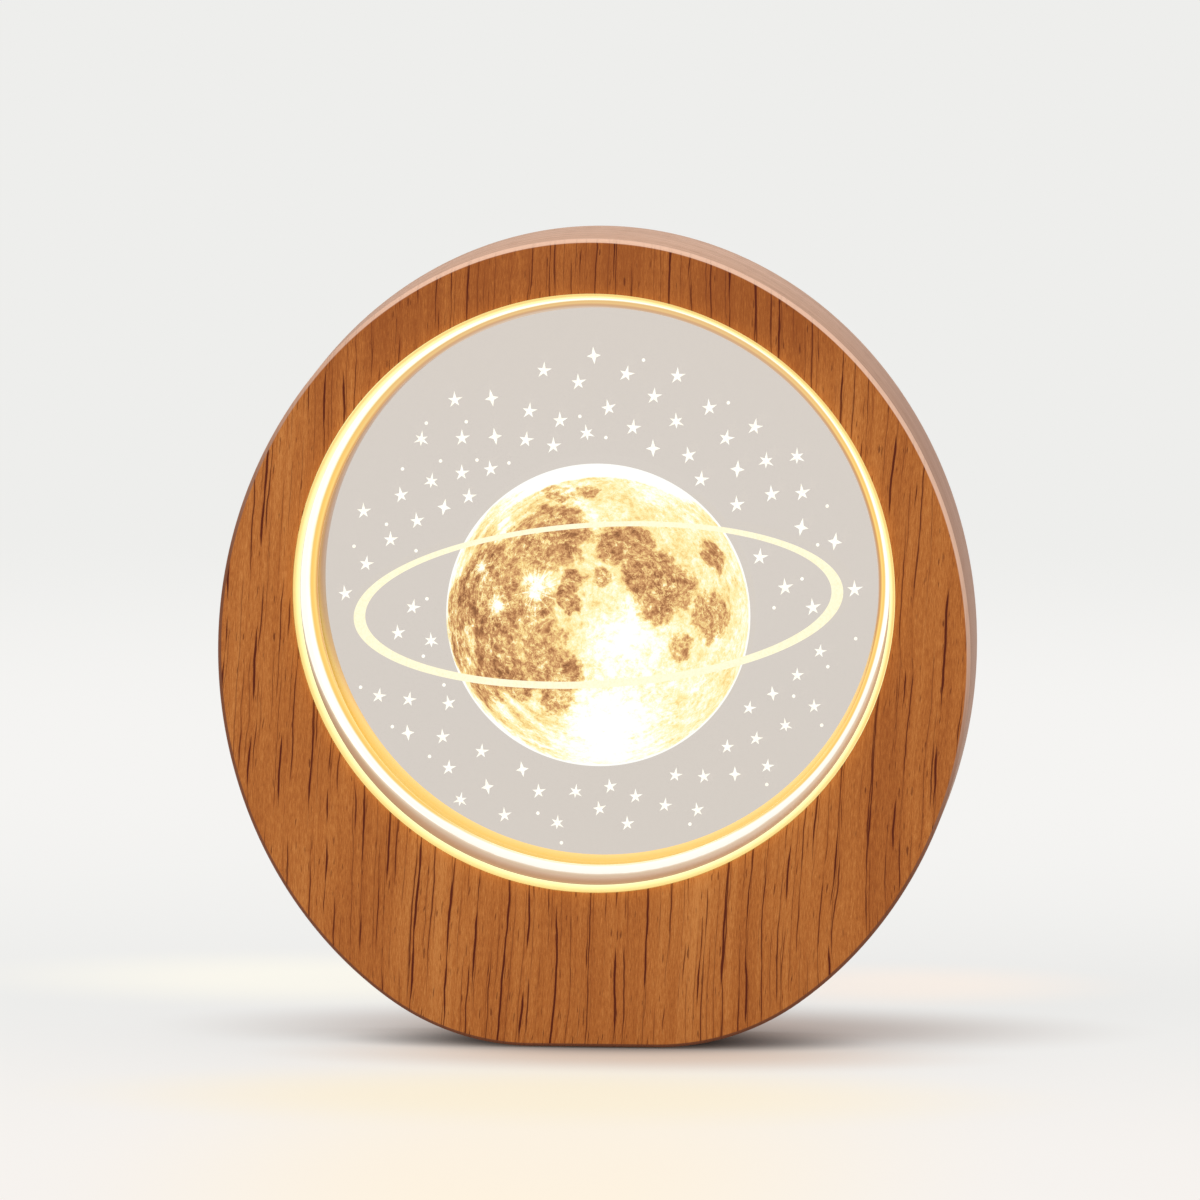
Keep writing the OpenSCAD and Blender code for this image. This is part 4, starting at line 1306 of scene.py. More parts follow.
    def _limb(self, bench: MaterialBench, u: Signal, w: Signal, limb: Signal) -> Signal:
        """White edge line, the crescent at the top and streaks along the left limb.

        Args:
            bench: The material's bench.
            u: Place to the right in radii.
            w: Place upwards in radii.
            limb: Distance from the middle in radii.

        Returns:
            How much lighter they make the moon.
        """
        line = limb.ease(*self.line_limits) * self.line_light
        low = bench.length(u - self.crescent_side, w + self.crescent_drop)
        crescent = low.ease(*self.crescent_limits) * w.ease(*self.crescent_rise) * self.crescent_light
        around = bench.math("ARCTAN2", w, u * -1.0)
        outwards, round_limb = self.streak_pace
        streak = bench.ripple(bench.vector(limb * outwards, around * round_limb, 0.0), *self.streak_noise)
        side = u.ease(*self.side_limits)
        streaks = streak * limb.ease(*self.streak_limits) * side * self.streak_light
        band = limb.ease(*self.band_limits) * side * self.band_light
        return line + crescent + streaks + band

    def _rays(self, bench: MaterialBench, ball: Signal, lat: float, lon: float, size: float,
              length: float) -> Signal:
        """Bright spot of a young crater, its glow and the rays that leave it.

        Args:
            bench: The material's bench.
            ball: Place on the moon's ball.
            lat: Latitude of the crater.
            lon: Longitude.
            size: Radius of the bright spot.
            length: Length of the rays.

        Returns:
            How much lighter it makes the moon.
        """
        away = bench.vector_math("SUBTRACT", ball, self._direction(lat, lon))
        gap = bench.vector_math("LENGTH", away, result="Value") * math.degrees(1)
        streak = bench.noise(bench.vector_math("NORMALIZE", away), *self.ray_noise)
        rays = streak.ease(*self.ray_limits) * gap.ease(length, size) * self.ray_light
        return rays + gap.ease(size * self.spot_reach, 0.0) * self.spot_light


@dataclass(frozen=True)
class Frost:
    """Edge-lit frost of the orbit line and the stars."""

    name: str
    light: Colour
    strength: float
    warm: Colour = tone(255, 226, 158)
    warm_share: float = 0.3
    grain_scale: float = 2.4
    dark: float = 0.86
    relief: float = 0.05

    def build(self) -> bpy.types.Material:
        """Makes the finish.

        Returns:
            The material.
        """
        bench = MaterialBench(self.name)
        grain = bench.noise(bench.place, self.grain_scale, 3.0, 0.7)
        light = bench.mix(grain.ease(0.35, 0.75) * self.warm_share, self.light, self.warm)
        return bench.glow(light, self.strength, self.dark, Roughness=0.65 + grain * 0.2,
                          Normal=bench.bump(grain, self.relief, 0.4))


@dataclass(frozen=True)
class Relief:
    """The noise of a surface's relief, and the relief's depth in millimetres."""

    stretch: tuple[float, float, float]
    scale: float
    detail: float
    roughness: float
    depth: float
    distortion: float = 0.0


class Surface(Enum):
    """How a plain finish is made, with its relief."""

    MOULDED = Relief((1.0, 1.0, 1.0), 7.0, 2.0, 0.6, 0.02)
    BRUSHED = Relief((0.6, 14.0, 14.0), 1.0, 3.0, 0.7, 0.015)
    TURNED = Relief((9.0, 9.0, 0.0), 1.0, 2.0, 0.6, 0.015)
    RUBBER = Relief((1.0, 1.0, 1.0), 5.0, 3.0, 0.7, 0.04)
    FOIL = Relief((1.0, 1.0, 1.0), 0.9, 2.0, 0.5, 0.12, 1.2)
    BOARD = Relief((3.0, 1.0, 3.0), 1.0, 1.0, 0.55, 0.01)
    FOAM = Relief((1.0, 1.0, 1.0), 2.2, 0.0, 0.0, 0.2)
    CORE = Relief((1.6, 1.6, 0.06), 1.0, 5.0, 0.65, 0.1)


@dataclass(frozen=True)
class PlainFinish:
    """Finish of a plain part: moulded, brushed, turned, rubber, foil, board, foam or raw wood."""

    name: str
    colour: Colour
    surface: Surface
    metallic: float = 0.0
    roughness: float = 0.45
    axis: tuple[float, float] = (0.0, 0.0)
    darker: float = 0.72
    cloud: tuple[float, float, float] = (0.5, 3.0, 0.6)

    def build(self) -> bpy.types.Material:
        """Makes the finish.

        Returns:
            The material.
        """
        bench = MaterialBench(self.name)
        cloud = bench.noise(bench.place, *self.cloud)
        height = self._height(bench)
        darker = tuple(channel * self.darker for channel in self.colour)
        body = bench.mix((cloud * 0.5 + height * 0.4).clamp(), darker, self.colour)
        roughness = self.roughness + (cloud - 0.5) * 0.16 + (height - 0.5) * 0.1
        return bench.finish(Base_Color=body, Metallic=self.metallic, Roughness=roughness,
                            Normal=bench.bump(height, self.surface.value.depth, 0.5))

    def _height(self, bench: MaterialBench) -> Signal:
        """Height of the surface's relief.

        Args:
            bench: The material's bench.

        Returns:
            The height from 0 to 1.
        """
        relief = self.surface.value
        where = bench.stretched(*relief.stretch)
        if self.surface is Surface.FOAM:
            return bench.cells(where, relief.scale)
        if self.surface is Surface.TURNED:
            radius = bench.length(bench.x - self.axis[0], bench.z - self.axis[1])
            where = bench.vector(radius * relief.stretch[0], bench.y * relief.stretch[1], 0.0)
        return bench.noise(where, relief.scale, relief.detail, relief.roughness, relief.distortion)


class Dresser:
    """Hands out materials, binds pieces to bodies and reports them."""

    def __init__(self) -> None:
        """Starts with no materials made."""
        self.made: dict[str, bpy.types.Material] = {}

    def material(self, finish: Any) -> bpy.types.Material:
        """Gives a finish's material, made once.

        Args:
            finish: The finish.

        Returns:
            The material.
        """
        if finish.name not in self.made:
            self.made[finish.name] = finish.build()
        return self.made[finish.name]

    def dress(self, piece: bpy.types.Object, finish: Any, slot: str, *nodes: str,
              body: str = LAMP_BODY) -> None:
        """Gives a new piece its material and body and hides the nodes that it stands for.

        Args:
            piece: The piece.
            finish: Its finish.
            slot: The material slot; not used.
            *nodes: The construction's nodes that it replaces.
            body: The body that it rides on.
        """
        piece.data.materials.clear()
        piece.data.materials.append(self.material(finish))
        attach(piece, body)
        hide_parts(*nodes)
        log.info("%s: %d faces, %s, rides on %s", piece.name, len(piece.data.polygons), finish.name, body)

    def repaint(self, finish: Any, *nodes: str) -> None:
        """Gives nodes of the construction a new material and leaves their meshes alone.

        Args:
            finish: Their finish.
            *nodes: Their names.
        """
        material = self.material(finish)
        for node in nodes:
            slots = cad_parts[node].data.materials
            for index in range(len(slots)):
                slots[index] = material
            if not slots:
                slots.append(material)
            log.info("%s: kept from the construction, %s", node, finish.name)


@dataclass
class WoodenBody:
    """Face board, rim band, back panel with its screws, core and feet."""

    dresser: Dresser
    veneer_t: float = 1.0
    band_t: float = 0.8
    panel_gap: float = 0.15
    edge_round: float = 0.95
    back_round: float = 0.5
    round_strips: int = 6
    band_round: float = 0.2
    rim_sides: int = 360
    corner_steps: int = 20
    # How far over the touching point of oval and corner the oval's points go, and the lowest one left
    clear_above: float = 0.3
    lowest_above: float = 0.1
    screw_angles: tuple[float, ...] = (90, 35, 145, -12, 192, -59, 239)
    screw_d: float = 2.4
    head_d: float = 4.8
    screw_len: float = 12.0
    core_share: float = 0.36
    tip_share: float = 0.4
    tip_len: float = 0.3
    thread_turns: int = 8
    thread_pitch: float = 1.0
    thread_from: float = 1.2
    thread_crest: float = 0.4
    thread_foot: float = 0.8
    neck_len: float = 0.4
    head_edge: float = 0.12
    head_smooth: float = 35.0
    cross_share: float = 0.55
    cross_w: float = 0.6
    cross_sink: float = 1.0
    screw_steps: int = 32
    sink_steps: int = 40
    cut_gap: float = 0.1
    over: float = 1.0

    face: Veneer = Veneer("face_wood", edging=1.0)
    back: Veneer = Veneer("back_wood", shift=37.0)
    rim: RimVeneer = RimVeneer()
    steel: PlainFinish = PlainFinish("black_steel", (0.05, 0.048, 0.045), Surface.TURNED, 0.9, 0.4)
    core: PlainFinish = PlainFinish("core_wood", tone(205, 165, 115), Surface.CORE, 0.0, 0.7)
    rubber: PlainFinish = PlainFinish("foot_rubber", (0.02, 0.02, 0.02), Surface.RUBBER, 0.0, 0.8)

    def outline_loop(self, shape: Shaping, depth: float) -> None:
        """Draws the body's outline as one closed loop of edges.

        Args:
            shape: The piece being modelled.
            depth: Depth of the loop.
        """
        turn, corner_x, corner_z = OUTLINE.corner()
        touch_x, touch_z = OUTLINE.rim_point(turn)
        sweep = math.pi / 2 + math.atan2(OUTLINE.half_w * math.sin(turn), OUTLINE.half_h * math.cos(turn))
        shape.start_ring(0, depth, OUTLINE.centre_z, OUTLINE.half_w, self.rim_sides)
        shape.stretch(1, OUTLINE.half_h / OUTLINE.half_w, at(0, depth, OUTLINE.centre_z))
        shape.pick(lambda p: p.z < (touch_z + self.clear_above) * MM)
        bpy.ops.mesh.delete(type="VERT")
        for side in (1, -1):
            mesh = bmesh.from_edit_mesh(shape.piece.data)
            low = min(v.co.z for v in mesh.verts if v.co.x * side > 0 and len(v.link_edges) == 1
                      and v.co.z > (touch_z + self.lowest_above) * MM)
            shape.pick(lambda p: p.x * side > 0 and abs(p.z - low) < SAME_PLACE)
            end = next(v.co.copy() for v in bmesh.from_edit_mesh(shape.piece.data).verts if v.select)
            shape.extrude_point(at(side * touch_x, depth, touch_z) - end)
            bpy.ops.mesh.spin(steps=self.corner_steps, angle=-side * sweep, axis=(0, 1, 0),
                              center=at(side * corner_x, depth, corner_z))
        shape.select_all()
        bpy.ops.mesh.remove_doubles(threshold=WELD)
        shape.pick(lambda p: abs(p.z - OUTLINE.base_z * MM) < SAME_HEIGHT)
        bpy.ops.mesh.edge_face_add()

    def plate(self, name: str, inset: float, depths: tuple[float, float]) -> Shaping:
        """Models a plate in the body's outline.

        Args:
            name: Name of the piece.
            inset: How far its edge lies inside the outline.
            depths: Its front and back.

        Returns:
            The plate, open for editing.
        """
        shape = Shaping(name)
        self.outline_loop(shape, depths[0])
        shape.fill()
        if inset > 0:
            bpy.ops.mesh.select_mode(type=Sel.FACES.value)
            bpy.ops.mesh.inset(thickness=inset * MM, use_even_offset=True)
            bpy.ops.mesh.select_all(action="INVERT")
            bpy.ops.mesh.delete(type="FACE")
        shape.thicken(depths[1] - depths[0])
        return shape

    def round_edge(self, shape: Shaping, depth: float, width: float) -> None:
        """Rounds a plate's outer edge.

        Args:
            shape: The plate.
            depth: Depth of the edge.
            width: Width of the rounding.
        """
        y = at(0, depth, 0).y
        shape.pick(lambda p: abs(p.y - y) < SAME_DEPTH, Sel.EDGES)
        shape.bevel(width, self.round_strips)
        shape.close()

    def face_board(self) -> None:
        """Models the face veneer with its rounded edge and the window."""
        shape = self.plate("face_veneer", 0, (0, self.veneer_t))
        self.round_edge(shape, 0, self.edge_round)
        opening = [(WINDOW.hole_r, -self.over), (WINDOW.hole_r, self.veneer_t + self.over)]
        shape.cut(turned_cutter("window_cutter", opening, 0, WINDOW.z, WINDOW.steps))
        self.dresser.dress(shape.smooth(), self.face, "face_veneer", "front_veneer")

    def rim_band(self) -> None:
        """Models the band round the rim."""
        shape = Shaping("rim_band")
        self.outline_loop(shape, self.veneer_t)
        shape.fill()
        bpy.ops.mesh.inset(thickness=self.band_t * MM, use_even_offset=True)
        bpy.ops.mesh.delete(type="FACE")
        shape.thicken(WINDOW.back_d - self.veneer_t)
        shape.soften(self.band_round, 3, 60)
        self.dresser.dress(shape.smooth(), self.rim, "band_veneer", "edge_band")

    def screw_place(self, angle: float) -> tuple[float, float]:
        """Finds a back screw's place, midway between ring seat and outline.

        Args:
            angle: Its direction from the window's middle in degrees.

        Returns:
            X and Z of the place.
        """
        radius = (WINDOW.seat_r + OUTLINE.reach(angle, WINDOW.z)) / 2
        turn = math.radians(angle)
        return radius * math.cos(turn), WINDOW.z + radius * math.sin(turn)

    def back_panel(self, holes: Sequence[bpy.types.Object]) -> None:
        """Models the back panel with its window, countersinks and holes.

        Args:
            holes: Cutters of the button, the port and the light pipe.
        """
        shape = self.plate("back_board", self.band_t + self.panel_gap, (WINDOW.panel_d, WINDOW.back_d))
        self.round_edge(shape, WINDOW.back_d, self.back_round)
        low, high = WINDOW.panel_d - self.over, WINDOW.back_d + self.over
        opening = [(WINDOW.panel_hole_r, low), (WINDOW.panel_hole_r, high)]
        window = turned_cutter("back_window_cutter", opening, 0, WINDOW.z, WINDOW.steps)
        shank = self.screw_d / 2 + self.cut_gap
        head = self.head_d / 2 + 2 * self.cut_gap
        cone_d = WINDOW.back_d - (self.head_d - self.screw_d) / 2 - self.cut_gap
        sink = [(shank, low), (shank, cone_d), (head, WINDOW.back_d), (head, high)]
        sinks = [turned_cutter("countersink", sink, *self.screw_place(angle), self.sink_steps)
                 for angle in self.screw_angles]
        shape.cut(join("back_cutters", [window, *holes, *sinks]))
        self.dresser.dress(shape.smooth(), self.back, "back_veneer", "back_panel")

    def screws(self) -> None:
        """Models one countersunk cross-head screw and sets its copies round the back."""
        top = WINDOW.back_d - WINDOW.flush_gap
        tip = top - self.screw_len
        neck = top - (self.head_d - self.screw_d) / 2
        shank, head = self.screw_d / 2, self.head_d / 2
        core = self.screw_d * self.core_share
        section = [(0, tip), (core * self.tip_share, tip + self.tip_len)]
        for index in range(self.thread_turns):
            d = tip + self.thread_from + index * self.thread_pitch
            section += [(core, d), (shank, d + self.thread_pitch * self.thread_crest),
                        (core, d + self.thread_pitch * self.thread_foot)]
        section += [(shank, neck - self.neck_len), (shank, neck), (head, top - self.head_edge),
                    (head - self.head_edge, top), (0, top)]
        x, z = self.screw_place(self.screw_angles[0])
        shape = Shaping("back_screw")
        shape.turn(section, x, z, self.screw_steps)
        shape.close()
        shape.cut(self._cross_cutter(x, z, top))
        parts = [shape.smooth(self.head_smooth)]
        for angle in self.screw_angles[1:]:
            px, pz = self.screw_place(angle)
            move = Vector(((px - x) * MM, 0, (pz - z) * MM))
            parts.append(copy_to(parts[0], f"back_screw_{len(parts) + 1}", move))
        self.dresser.dress(join("back_screws", parts), self.steel, "dark_steel", "cover_screws")

    def _cross_cutter(self, x: float, z: float, top: float) -> bpy.types.Object:
        """Models the tapered cross that is cut into a screw head.

        Args:
            x: Place of the screw along X.
            z: Its height.
            top: Depth of the head's flat top.

        Returns:
            The cutter.
        """
        width, foot = self.head_d * self.cross_share, top - self.cross_sink
        bars = []
        for size in ((width, self.cross_w), (self.cross_w, width)):
            bar = Shaping("cross_bar")
            bar.start_block(x, (foot, top + self.over), z, size)
            low_y = at(0, foot, 0).y
            bar.pick(lambda p: abs(p.y - low_y) < SAME_DEPTH)
            bar.stretch(self.cross_share, self.cross_share, at(x, foot, z))
            bar.close()
            bars.append(bar)
        bars[0].cut(bars[1].piece, "UNION")
        return bars[0].piece

    def build(self, holes: Sequence[bpy.types.Object]) -> None:
        """Builds and dresses the wooden body.

        Args:
            holes: Cutters of the button, the port and the light pipe.
        """
        self.face_board()
        self.rim_band()
        self.back_panel(holes)
        self.screws()
        self.dresser.repaint(self.core, "frame_core")
        self.dresser.repaint(self.rubber, "foot_pads")


@dataclass
class WindowStack:
    """The lit rings, the gaskets and the clear disc."""

    dresser: Dresser
    soft: float = 0.12
    soft_angle: float = 20.0
    smooth_angle: float = 40.0

    lip: LitRing = LitRing("lip_light", tone(246, 208, 122), tone(255, 246, 165), tone(255, 252, 192),
                           (0.0, 3.2), 0.94)
    sleeve: BandLight = BandLight("sleeve_acrylic", Band.SLEEVE)
    white: BandLight = BandLight("white_light", Band.DIFFUSER)
    amber: BandLight = BandLight("amber_light", Band.REAR, 1.25)
    gasket: PlainFinish = PlainFinish("clear_gasket", (0.72, 0.66, 0.56), Surface.RUBBER, 0.0, 0.5)
    crystal: ClearDisc = ClearDisc()

    def ring(self, name: str, section: Section, finish: Any, slot: str, node: str) -> None:
        """Spins one ring and dresses it.

        Args:
            name: Name of the piece.
            section: Radius and depth of each corner.
            finish: Its finish.
            slot: The material slot.
            node: The construction's node that it replaces.
        """
        shape = Shaping(name)
        shape.turn(section, 0, WINDOW.z, WINDOW.steps)
        shape.soften(self.soft, angle=self.soft_angle)
        self.dresser.dress(shape.smooth(self.smooth_angle), finish, slot, node)

    def build(self) -> None:
        """Builds and dresses the rings, gaskets and disc."""
        w = WINDOW
        end_d = w.back_d - w.flush_gap
        self.ring("lit_lip", [
            (w.nose_r - w.chamfer, w.flush_gap), (w.nose_r, w.flush_gap), (w.nose_r, w.seat_d),
            (w.ring_r, w.seat_d), (w.ring_r, w.lip_d), (w.lip_in_r, w.lip_d),
            (w.lip_in_r, w.lip_d - w.groove_w)], self.lip, "lip_light", "lip_ring")
        self.ring("clear_sleeve", [
            (w.lip_in_r + w.groove_w, w.lip_d), (w.ring_r, w.lip_d), (w.ring_r, w.glow_d),
            (w.sleeve_in_r, w.glow_d), (w.lip_in_r, w.lip_d + w.groove_w),
            (w.lip_in_r + w.groove_w, w.lip_d + w.groove_w)], self.sleeve, "sleeve_acrylic", "sleeve_ring")
        self.ring("white_diffuser", [
            (w.glow_in_r + w.chamfer, w.glow_d), (w.ring_r, w.glow_d), (w.ring_r, w.gasket_d),
            (w.glow_in_r, w.gasket_d), (w.glow_in_r, w.glow_d + w.chamfer)],
            self.white, "white_light", "diffuser_ring")
        self.ring("amber_ring", [
            (w.glow_in_r, w.rear_d), (w.ring_r, w.rear_d), (w.ring_r, w.panel_d), (w.rear_nose_r, w.panel_d),
            (w.rear_nose_r, end_d), (w.rear_in_r + w.chamfer, end_d), (w.rear_in_r, end_d - w.chamfer)],
            self.amber, "amber_light", "rear_ring")
        self.ring("crystal_plate", [
            (0, w.disc_d), (w.disc_r - w.chamfer, w.disc_d), (w.disc_r, w.disc_d + w.chamfer),
            (w.disc_r, w.disc_back_d - w.chamfer), (w.disc_r - w.chamfer, w.disc_back_d),
            (0, w.disc_back_d)], self.crystal, "clear_disc", "crystal_disc")
        self.dresser.repaint(self.gasket, "front_gasket", "rear_gasket")


@dataclass
class FrostedPattern:
    """The frosted moon, orbit line and stars on the disc's front face."""

    dresser: Dresser
    moon: MoonFrost = MoonFrost()
    line: Frost = Frost("orbit_frost", tone(255, 250, 218), 0.9)
    stars: Frost = Frost("star_frost", tone(255, 254, 246), 1.0)
    moon_edge: float = 0.08
    # Shares of the moon's radius at which its face has further circles of points
    moon_circles: tuple[float, float] = (0.5, 0.9)
    orbit_z: float = 86.25
    orbit_a: float = 48.4
    orbit_b: float = 16.4
    orbit_end_w: float = 2.3
    orbit_mid_w: float = 1.2
    orbit_lift: float = 0.2
    orbit_tilt: float = 4.0
    orbit_proud: float = 0.05

    def moon_disc(self) -> None:
        """Spins the thin disc that carries the moon."""
        shape = Shaping("frosted_moon")
        r, front, back = self.moon.radius, WINDOW.frost_d, WINDOW.disc_d
        inner = [(r * share, front) for share in self.moon_circles]
        shape.turn([(0, front), *inner, (r - self.moon_edge, front), (r, front + self.moon_edge), (r, back),
                    (0, back)], 0, self.moon.centre_z, WINDOW.steps)
        self.dresser.dress(shape.smooth(), self.moon, "frost_bright", "moon_lands", "moon_seas")

    def orbit(self) -> None:
        """Models the orbit: two ellipses bridged, made thick and tilted."""
        shape = Shaping("orbit_band")
        front = WINDOW.frost_d - self.orbit_proud
        shape.start_ring(0, front, self.orbit_z, self.orbit_a, WINDOW.steps)
        centre = at(0, front, self.orbit_z)
        shape.stretch(1, self.orbit_b / self.orbit_a, centre)
        bpy.ops.mesh.duplicate()
        shape.stretch(1 - self.orbit_end_w / self.orbit_a, 1 - self.orbit_mid_w / self.orbit_b, centre)
        bpy.ops.transform.translate(value=(0, 0, self.orbit_lift * MM))
        shape.select_all()
        bpy.ops.mesh.bridge_edge_loops()
        shape.thicken(WINDOW.disc_d - front)
        shape.select_all()
        bpy.ops.transform.rotate(value=math.radians(self.orbit_tilt), orient_axis="Y",
                                 center_override=centre)
        self.dresser.dress(shape.smooth(), self.line, "frost_line", "orbit_line")

    def build(self) -> None:
        """Builds and dresses the pattern."""
        self.moon_disc()
        self.orbit()
        self.dresser.repaint(self.stars, "star_field")


@dataclass
class BackControls:
    """The push button with its bezel, the port's trim and shell, and the light pipe."""

    dresser: Dresser
    button_x: float = 16.5
    row_z: float = 15.0
    button_d: float = 9.8
    button_gap: float = 0.1
    button_edge: float = 0.25
    bezel_foot: float = 0.2
    bezel_wall: float = 1.2
    bezel_flange_w: float = 1.0
    bezel_flange_t: float = 0.8
    bezel_round: float = 0.15
    button_flange_w: float = 0.9
    button_flange_t: float = 0.7
    button_rest_gap: float = 0.3
    button_sink: float = 0.2
    dish_depth: float = 0.3
    # The dish's radius in the button's diameters, and its points in shares of the button's radius
    dish_curve: float = 4.0
    dish_shares: tuple[float, ...] = (0.8, 0.6, 0.4, 0.2, 0.0)
    port_z: float = 12.0
    port_w: float = 8.94
    port_h: float = 3.26
    port_sides: int = 64
    trim_rim: float = 1.5
    trim_lip_w: float = 0.8
    trim_lip_t: float = 0.7
    pipe_x: float = 8.6
    pipe_z: float = 9.4
    pipe_d: float = 2.0
    pipe_steps: int = 40
    hair: float = 0.05
    over: float = 1.0
    lip_over: float = 1.5
    steps: int = 96

    bezel: PlainFinish = PlainFinish("satin_bezel", (0.55, 0.53, 0.5), Surface.TURNED, 1.0, 0.3, (16.5, 15.0))
    black: PlainFinish = PlainFinish("black_trim", (0.012, 0.0115, 0.011), Surface.MOULDED, 0.0, 0.45)
    cap: PlainFinish = PlainFinish("button_cap", (0.5, 0.485, 0.46), Surface.TURNED, 1.0, 0.26, (16.5, 15.0))
    steel: PlainFinish = PlainFinish("bright_steel", (0.6, 0.6, 0.62), Surface.BRUSHED, 1.0, 0.3)
    pipe: ClearDisc = ClearDisc("pipe_clear", (0.85, 0.92, 0.94))

    def cutters(self) -> list[bpy.types.Object]:
        """Models what is cut out of the back panel.

        Returns:
            The cutters.
        """
        low, high = WINDOW.panel_d - self.over, WINDOW.back_d + self.over
        bore = self.button_d / 2 + self.button_gap + self.bezel_wall + self.hair
        wide = bore + self.bezel_flange_w
        seat_d = WINDOW.back_d - self.bezel_flange_t - self.hair
        button = turned_cutter("bezel_cutter", [(bore, low), (bore, seat_d), (wide, seat_d), (wide, high)],
                               self.button_x, self.row_z, self.steps)
        radius = self.pipe_d / 2 + self.hair
        pipe = turned_cutter("pipe_cutter", [(radius, low), (radius, high)], self.pipe_x, self.pipe_z,
                             self.pipe_steps)
        grow = self.trim_rim + self.hair
        inner = self.slot_solid("port_cutter", grow, (low, high))
        outer = self.slot_solid("lip_cutter", grow + self.trim_lip_w, (
            WINDOW.back_d - self.trim_lip_t - self.hair, WINDOW.back_d + self.lip_over))
        inner.cut(outer.piece, "UNION")
        return [button, pipe, inner.piece]

    def slot_solid(self, name: str, grow: float, depths: tuple[float, float]) -> Shaping:
        """Models a slot with round ends, as wide as the port and a margin.

        Args:
            name: Name of the solid.
            grow: The margin all round.
            depths: Its front and back.

        Returns:
            The solid.
        """
        shape = Shaping(name)
        half = self.port_h / 2 + grow
        reach = self.port_w / 2 + grow - half
        shape.start_ring(0, depths[0], self.port_z, half, self.port_sides)
        for side in (1, -1):
            shape.pick(lambda p: p.x * side > SAME_PLACE)
            bpy.ops.transform.translate(value=(side * reach * MM, 0, 0))
        shape.fill()
        shape.thicken(depths[1] - depths[0])
        shape.close()
        return shape

    def button(self) -> None:
        """Spins the button's cap with its dish and flange."""
        face = WINDOW.back_d - self.button_sink
        back = WINDOW.panel_d + self.bezel_foot - self.button_rest_gap
        front = back - self.button_flange_t
        r = self.button_d / 2
        flange_r = r + self.button_flange_w
        dish_r = self.dish_curve * self.button_d
        dish = [(r * share, face - self.dish_depth + dish_r - math.sqrt(dish_r ** 2 - (r * share) ** 2))
                for share in self.dish_shares]
        shape = Shaping("push_button")
        shape.turn([(0, front), (flange_r, front), (flange_r, back), (r, back), (r, face - self.button_edge),
                    (r - self.button_edge, face), *dish], self.button_x, self.row_z, self.steps)
        self.dresser.dress(shape.smooth(), self.cap, "bezel_metal", "power_button", body=BUTTON_BODY)

    def bezel_ring(self) -> None:
        """Spins the bezel round the button."""
        inner = self.button_d / 2 + self.button_gap
        outer = inner + self.bezel_wall
        flange_r = outer + self.bezel_flange_w
        flange_d = WINDOW.back_d - self.bezel_flange_t
        face = WINDOW.back_d - WINDOW.flush_gap
        start = WINDOW.panel_d + self.bezel_foot
        shape = Shaping("button_ring")
        shape.turn([(inner, start), (outer, start), (outer, flange_d), (flange_r, flange_d), (flange_r, face),
                    (inner, face)], self.button_x, self.row_z, self.steps)
        shape.soften(self.bezel_round, 3)
        self.dresser.dress(shape.smooth(), self.bezel, "bezel_metal", "button_bezel")

    def build(self) -> None:
        """Builds and dresses the controls."""
        self.button()
        self.bezel_ring()
        self.dresser.repaint(self.black, "port_trim", "usb_tongue")
        self.dresser.repaint(self.steel, "usb_shell")
        self.dresser.repaint(self.pipe, "light_pipe")


@dataclass
class Electronics:
    """Everything inside: the light strip, the board and its parts, the switch and the cell."""

    dresser: Dresser
    strip: PlainFinish = PlainFinish("flex_strip", (0.72, 0.7, 0.6), Surface.BOARD, 0.0, 0.5)
    red: PlainFinish = PlainFinish("red_lead", (0.42, 0.02, 0.015), Surface.RUBBER, 0.0, 0.45)
    board: PlainFinish = PlainFinish("green_board", (0.012, 0.09, 0.035), Surface.BOARD, 0.0, 0.3)
    steel: PlainFinish = PlainFinish("plated_steel", (0.6, 0.6, 0.62), Surface.TURNED, 1.0, 0.3)
    chip: PlainFinish = PlainFinish("chip_black", (0.012, 0.012, 0.013), Surface.MOULDED, 0.0, 0.5)
    ferrite: PlainFinish = PlainFinish("ferrite", (0.03, 0.03, 0.032), Surface.MOULDED, 0.0, 0.65)
    tan: PlainFinish = PlainFinish("capacitor_tan", (0.34, 0.2, 0.09), Surface.MOULDED, 0.0, 0.4)
    white: PlainFinish = PlainFinish("plunger_white", (0.72, 0.7, 0.63), Surface.MOULDED, 0.0, 0.45)
    foil: PlainFinish = PlainFinish("cell_foil", (0.5, 0.52, 0.56), Surface.FOIL, 0.9, 0.34)
    foam: PlainFinish = PlainFinish("grey_foam", (0.045, 0.045, 0.05), Surface.FOAM, 0.0, 0.9)
    lit: Frost = Frost("lit_chip", tone(255, 236, 170), 1.0)

    def build(self) -> None:
        """Dresses the inner nodes."""
        repaint = self.dresser.repaint
        repaint(self.strip, "led_strip")
        repaint(self.lit, "led_chips", "indicator_led")
        repaint(self.red, "led_leads", "battery_leads")
        repaint(self.board, "main_board", "cell_guard_board")
        repaint(self.steel, "board_screws")
        repaint(self.chip, "charge_chip", "driver_chip", "resistors", "switch_body")
        repaint(self.ferrite, "inductor")
        repaint(self.tan, "capacitors")
        repaint(self.white, "switch_plunger", "battery_plug", "battery_header")
        repaint(self.foil, "battery_cell")
        repaint(self.foam, "cell_tape")


